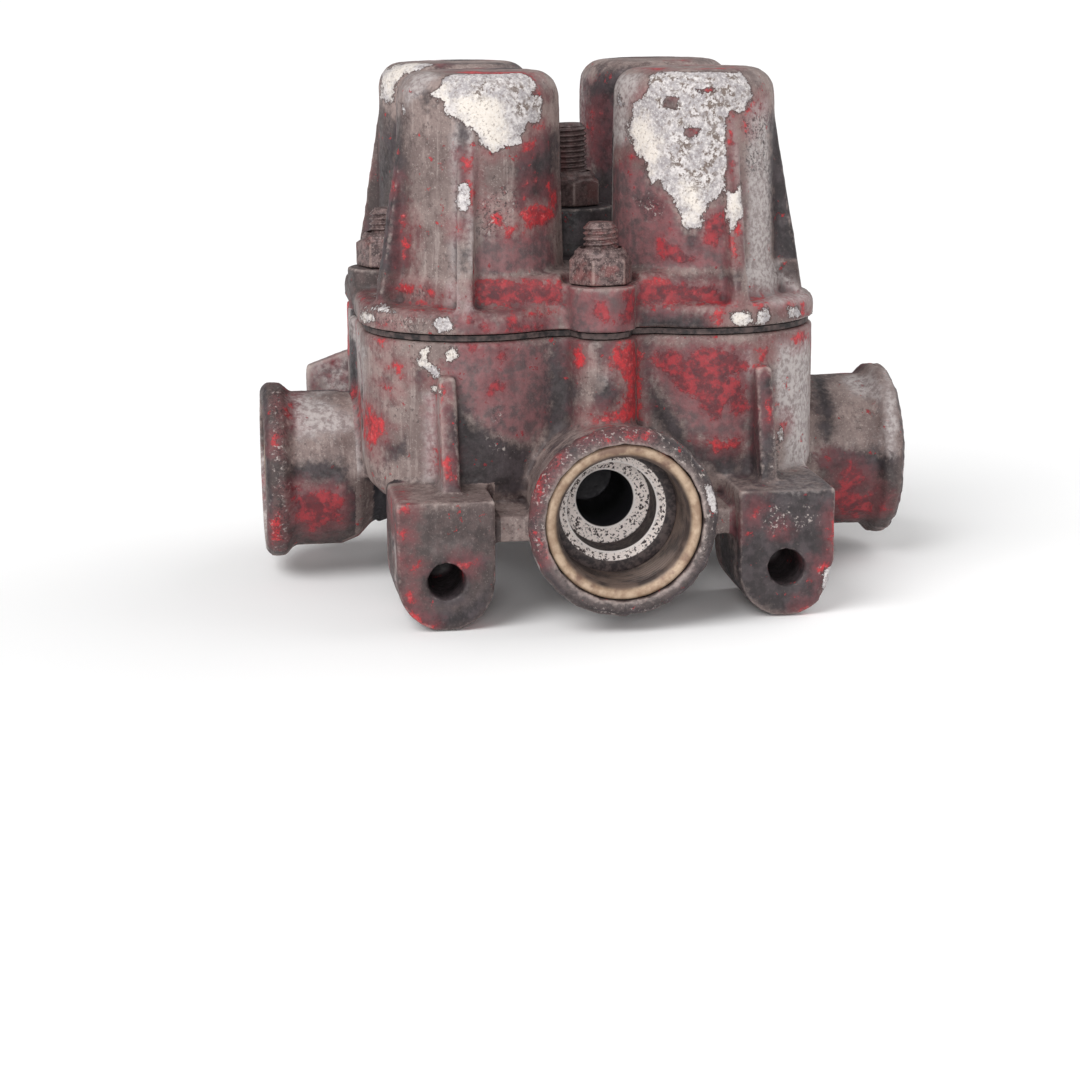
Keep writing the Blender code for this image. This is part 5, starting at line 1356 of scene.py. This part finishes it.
def casting_finish(name):
    """Worn red paint on cast aluminium, with grime over it and pale corrosion where it is gone."""
    s = Shader(name)
    fine = s.noise(0.45, 4, 0.7, 1)
    small = s.noise(1.1, 4, 0.65, 2)
    other_small = s.noise(0.9, 4, 0.7, 12)
    middle = s.noise(3.2, 5, 0.65, 13)
    other_middle = s.noise(2.6, 5, 0.65, 14)
    tiny = s.noise(0.6, 4, 0.7, 18)
    colour = grime_colour(s, fine, other_small, middle)

    pale = s.ragged("pale", -1.6, 1.2, (middle, 1.5), (small, 0.8))
    pale_tone = s.tones(small, 0.4, 0.62, srgb(182, 174, 172), srgb(138, 127, 126))
    colour = s.coat(colour, pale, 0.85, pale_tone)

    dust = s.ragged("dust", -1.5, 1.5, (middle, 1.8), (small, 0.8))
    dust_tone = s.tones(other_middle, 0.4, 0.6, srgb(82, 64, 67), srgb(124, 82, 85))
    dust_tone = s.flecks(dust_tone, other_small, 0.55, 0.7, 0.6, srgb(116, 102, 101))
    colour = s.coat(colour, dust, 0.85, dust_tone)

    # Soot and painted shade: soot in random patches, and painted shade under the ports and on shadowed sides at the
    # front.
    soot_and_shade = s.ragged("soot_and_shade", -1.8, 2.0, (middle, 1.8), (small, 0.8))
    soot_and_shade_tone = s.tones(middle, 0.4, 0.62, srgb(48, 39, 39), srgb(78, 64, 63))
    soot_and_shade_tone = s.flecks(soot_and_shade_tone, fine, 0.54, 0.68, 0.4, srgb(130, 116, 114))
    colour = s.coat(colour, soot_and_shade, 0.9, soot_and_shade_tone)

    dark = s.ragged("dark", -1.8, 1.8, (middle, 1.8), (small, 0.9))
    dark_tone = s.tones(middle, 0.4, 0.62, srgb(34, 29, 32), srgb(64, 56, 59))
    dark_tone = s.flecks(dark_tone, other_small, 0.57, 0.7, 0.4, srgb(106, 95, 93))
    colour = s.coat(colour, dark, 0.95, dark_tone)

    haze = s.ragged("red", -4.5, 1.5, (middle, 1.6), (other_middle, 1.6), (small, 0.6))
    colour = s.coat(colour, haze, 0.6, srgb(122, 58, 63))
    chips = s.times(s.step(other_middle, 0.62, 0.66), s.step(small, 0.48, 0.52))
    sheets = s.ragged("red", -0.2, 1.0, (middle, 1.0), (other_middle, 1.4), (small, 1.0), (fine, 0.4))
    red = s.math("MAXIMUM", sheets, chips)
    red_tone = s.tones(middle, 0.4, 0.6, srgb(132, 36, 42), srgb(192, 46, 52))
    red_tone = s.tones(other_small, 0.54, 0.68, red_tone, srgb(204, 92, 92))
    deep_tone = s.tones(other_middle, 0.44, 0.6, srgb(66, 34, 40), srgb(148, 46, 53))
    red_tone = s.coat(red_tone, dust, 0.85, deep_tone)
    red_tone = s.flecks(red_tone, small, 0.5, 0.63, 0.55, srgb(84, 58, 62))
    colour = s.coat(colour, red, 0.93, red_tone)

    speck = s.ragged("speck", -1.0, 1.5, (middle, 1.5))
    black = s.times(speck, s.step(tiny, 0.48, 0.42))
    white = s.times(speck, s.step(other_small, 0.56, 0.64))
    colour = s.coat(colour, black, 0.8, srgb(52, 44, 45))
    colour = s.coat(colour, white, 0.75, srgb(176, 165, 160))

    ragged_edge = ((middle, 0.8), (other_small, 0.7), (fine, 0.4))
    bare = s.ragged("bare", 0.0, 0.12, *ragged_edge)
    shadow = s.ragged("bare", -0.5, -0.1, *ragged_edge)
    colour = s.coat(colour, shadow, 0.8, srgb(70, 52, 50))
    bare_tone = s.tones(other_middle, 0.4, 0.6, srgb(158, 152, 154), srgb(204, 198, 197))
    bare_tone = s.flecks(bare_tone, small, 0.5, 0.62, 0.6, srgb(140, 133, 134))
    cream = s.ragged("cream", -2.0, 2.0, (middle, 2.5), (small, 1.0))
    bare_tone = s.coat(bare_tone, cream, 0.9, srgb(220, 211, 201))
    fleck = s.ragged("fleck", -1.5, 2.0, (middle, 1.5))
    fleck = s.times(fleck, s.step(other_middle, 0.44, 0.56))
    bare_tone = s.coat(bare_tone, fleck, s.step(small, 0.46, 0.55), srgb(112, 98, 91))
    bare_tone = s.flecks(bare_tone, tiny, 0.55, 0.62, 0.75, srgb(118, 106, 100))
    bare_tone = s.flecks(bare_tone, tiny, 0.46, 0.4, 0.6, srgb(222, 218, 214))
    colour = s.mix(bare, colour, bare_tone)

    # Lighter on outside edges, for worn paint and a painted highlight, and darker in corners, for painted shade.
    edge = s.add(s.attribute("edge"), s.times(s.math("SUBTRACT", small, 0.5), 0.10))
    colour = s.flecks(colour, edge, 0.035, 0.085, 0.6, srgb(176, 161, 155))
    colour = s.flecks(colour, edge, -0.02, -0.07, 0.75, srgb(48, 38, 40))
    # Painted shade in the bores and chambers.
    colour = s.mix(s.attribute("inside"), colour, srgb(38, 35, 39))

    height = s.add(s.times(small, 0.6), s.times(fine, 0.3))
    height = s.add(height, s.add(s.times(bare, 0.8), s.times(red, 0.35)))
    pits = s.times(s.times(fleck, bare), s.step(small, 0.48, 0.58, 0.0, -0.5))
    height = s.add(height, pits)
    roughness = s.step(small, 0.3, 0.7, 0.45, 0.7)
    return s.finish(colour, roughness, 0.0, s.bump(height, 0.2), 0.4)


def steel_finish():
    """Rust-brown steel with pale specks and worn edges, and painted shade on the centre stud and nut."""
    s = Shader("rusty_steel")
    grain = s.noise(1.3, 5, 0.65, 4)
    fine = s.noise(0.35, 3, 0.6, 5)
    broad = s.noise(5, 4, 0.6, 15)
    colour = s.tones(grain, 0.42, 0.58, srgb(66, 50, 50), srgb(114, 94, 92))
    colour = s.flecks(colour, broad, 0.5, 0.62, 0.6, srgb(128, 76, 74))
    colour = s.flecks(colour, fine, 0.54, 0.7, 0.7, srgb(172, 152, 144))
    edge = s.add(s.attribute("edge"), s.times(s.math("SUBTRACT", grain, 0.5), 0.6))
    colour = s.flecks(colour, edge, 0.5, 0.9, 0.35, srgb(168, 144, 136))
    # Painted shade on the centre stud and nut.
    colour = s.coat(colour, s.attribute("grime"), 0.6, srgb(54, 38, 37))
    return s.finish(colour, 0.5, 0.15, s.bump(grain, 0.1))


def brass_finish():
    """Dull, stained brass, with painted shade inside the bush."""
    s = Shader("brass")
    grain = s.noise(2.5, 4, 0.6, 6)
    stain = s.noise(6, 4, 0.6, 16)
    colour = s.tones(grain, 0.35, 0.65, srgb(142, 116, 95), srgb(180, 157, 134))
    colour = s.tones(stain, 0.52, 0.66, colour, srgb(120, 94, 80))
    # Painted shade inside the bush.
    inside = s.tones(stain, 0.4, 0.6, srgb(66, 56, 53), srgb(104, 88, 80))
    colour = s.mix(s.attribute("deep"), colour, inside)
    return s.finish(colour, 0.5, 0.2, s.bump(grain, 0.03))


def bore_finish():
    """Dark tubes between pale pitted shoulders, with a painted highlight on the shoulders' inner edges and painted
    shade in the hole.
    """
    s = Shader("port_bore")
    grain = s.noise(1.3, 4, 0.6, 7)
    fine = s.noise(0.6, 4, 0.6, 17)
    tube = s.tones(grain, 0.4, 0.62, srgb(52, 44, 45), srgb(92, 80, 78))
    shoulder = s.tones(fine, 0.49, 0.42, srgb(236, 224, 218), srgb(62, 50, 50))
    # Painted highlight on the shoulders' inner edges.
    shoulder = s.mix(s.attribute("rim"), shoulder, srgb(250, 242, 238))
    colour = s.mix(s.attribute("shoulder"), tube, shoulder)
    # Painted shade in the hole.
    colour = s.mix(s.attribute("hole"), colour, srgb(36, 35, 40))
    return s.finish(colour, 0.6, 0.0, s.bump(fine, 0.08))


def plain_finish(name, colour, second, roughness, metallic, size):
    """A finish for the pieces inside: two tones in soft patches, with a fine grain."""
    s = Shader(name)
    patches = s.noise(size, 4, 0.6, 8)
    grain = s.noise(size / 8, 3, 0.6, 9)
    mixed = s.tones(patches, 0.35, 0.65, colour, second)
    worn = s.step(patches, 0.3, 0.7, roughness - 0.08, roughness + 0.1)
    return s.finish(mixed, worn, metallic, s.bump(grain, 0.03))


def dress_inner_nodes(rubber):
    """Gives the CAD's own inner pieces, which no casting or fastener replaces, their materials."""
    finishes = {
        "joint_gasket": plain_finish("gasket", srgb(34, 30, 31), srgb(92, 78, 76), 0.8, 0.0, 2),
        "diaphragm_plate_": plain_finish("plate", srgb(182, 182, 180), srgb(202, 202, 198), 0.38, 1.0, 4),
        "valve_head_": rubber,
        "spring_seat_": plain_finish("seat_plastic", srgb(206, 203, 190), srgb(192, 186, 170), 0.5, 0.0, 5),
    }
    for node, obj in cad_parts.items():
        for start, finish in finishes.items():
            if node.startswith(start):
                obj.data.materials.clear()
                obj.data.materials.append(finish)


# ---------------------------------------------------------------- stage


def make_stage():
    """A large pale floor."""
    s = Shader("floor")
    mesh = bpy.data.meshes.new("floor")
    reach = 60.0
    corners = [(-reach, -reach, 0), (reach, -reach, 0), (reach, reach, 0), (-reach, reach, 0)]
    mesh.from_pydata(corners, [], [(0, 1, 2, 3)])
    floor = bpy.data.objects.new("floor", mesh)
    bpy.context.scene.collection.objects.link(floor)
    mesh.materials.append(s.finish((0.95, 0.95, 0.95), 0.9, 0.0, None, 0.1))


def make_light(name, place, softness, strength):
    """A broad, distant light that shines from this place towards the valve."""
    data = bpy.data.lights.new(name, "SUN")
    data.angle = math.radians(softness)
    data.energy = strength
    light = bpy.data.objects.new(name, data)
    light.rotation_euler = (-Vector(place)).to_track_quat("-Z", "Y").to_euler()
    bpy.context.scene.collection.objects.link(light)


def make_camera():
    """The photograph's camera, as it was fitted: place, heading, pitch, roll and lens."""
    data = bpy.data.cameras.new("camera")
    data.sensor_width = 36
    data.lens = 85.8
    camera = bpy.data.objects.new("camera", data)
    heading = math.radians(7.9)
    pitch = math.radians(12.9)
    level = math.cos(pitch)
    ahead = Vector((math.sin(heading) * level, math.cos(heading) * level, -math.sin(pitch)))
    aim = ahead.to_track_quat("-Z", "Y").to_matrix().to_4x4()
    place = (np.array([-94.5, -621.2, 85.0]) + ORIGIN) * MM
    roll = Matrix.Rotation(math.radians(-0.57), 4, "Z")
    camera.matrix_world = Matrix.Translation(place.tolist()) @ aim @ roll
    bpy.context.scene.collection.objects.link(camera)
    bpy.context.scene.camera = camera


def make_world():
    """Even white light from all round."""
    world = bpy.data.worlds.new("studio")
    world.use_nodes = True
    background = world.node_tree.nodes["Background"]
    background.inputs["Color"].default_value = (1, 1, 1, 1)
    background.inputs["Strength"].default_value = 0.42
    bpy.context.scene.world = world
    bpy.context.scene.view_settings.view_transform = "Standard"


# ---------------------------------------------------------------- all of it

STEEL = steel_finish()
BRASS = brass_finish()
BORE = bore_finish()
make_cover(casting_finish("cover_paint"))
make_housing(casting_finish("housing_paint"))
for stud_name in STUDS:
    make_stud(stud_name, STEEL)
    make_nut(stud_name, STEEL)
for bush_name in [*SIDES, "supply"]:
    make_bush(bush_name, BRASS)
for side_name in SIDES:
    make_bore(side_name, BORE)
RUBBER = plain_finish("rubber", srgb(30, 30, 31), srgb(46, 45, 45), 0.85, 0.0, 3)
SPRING_STEEL = plain_finish("spring_steel", srgb(150, 150, 156), srgb(176, 175, 178), 0.35, 1.0, 3)
for circuit_name in CIRCUITS:
    make_spring(circuit_name, SPRING_STEEL)
    make_diaphragm(circuit_name, RUBBER)
dress_inner_nodes(RUBBER)
make_stage()
make_light("key", (-0.9, -0.75, 1.25), 40, 1.9)
make_light("right", (1.0, 0.35, 0.9), 50, 0.9)
make_light("front", (-0.15, -1.0, 0.25), 20, 1.3)
make_camera()
make_world()
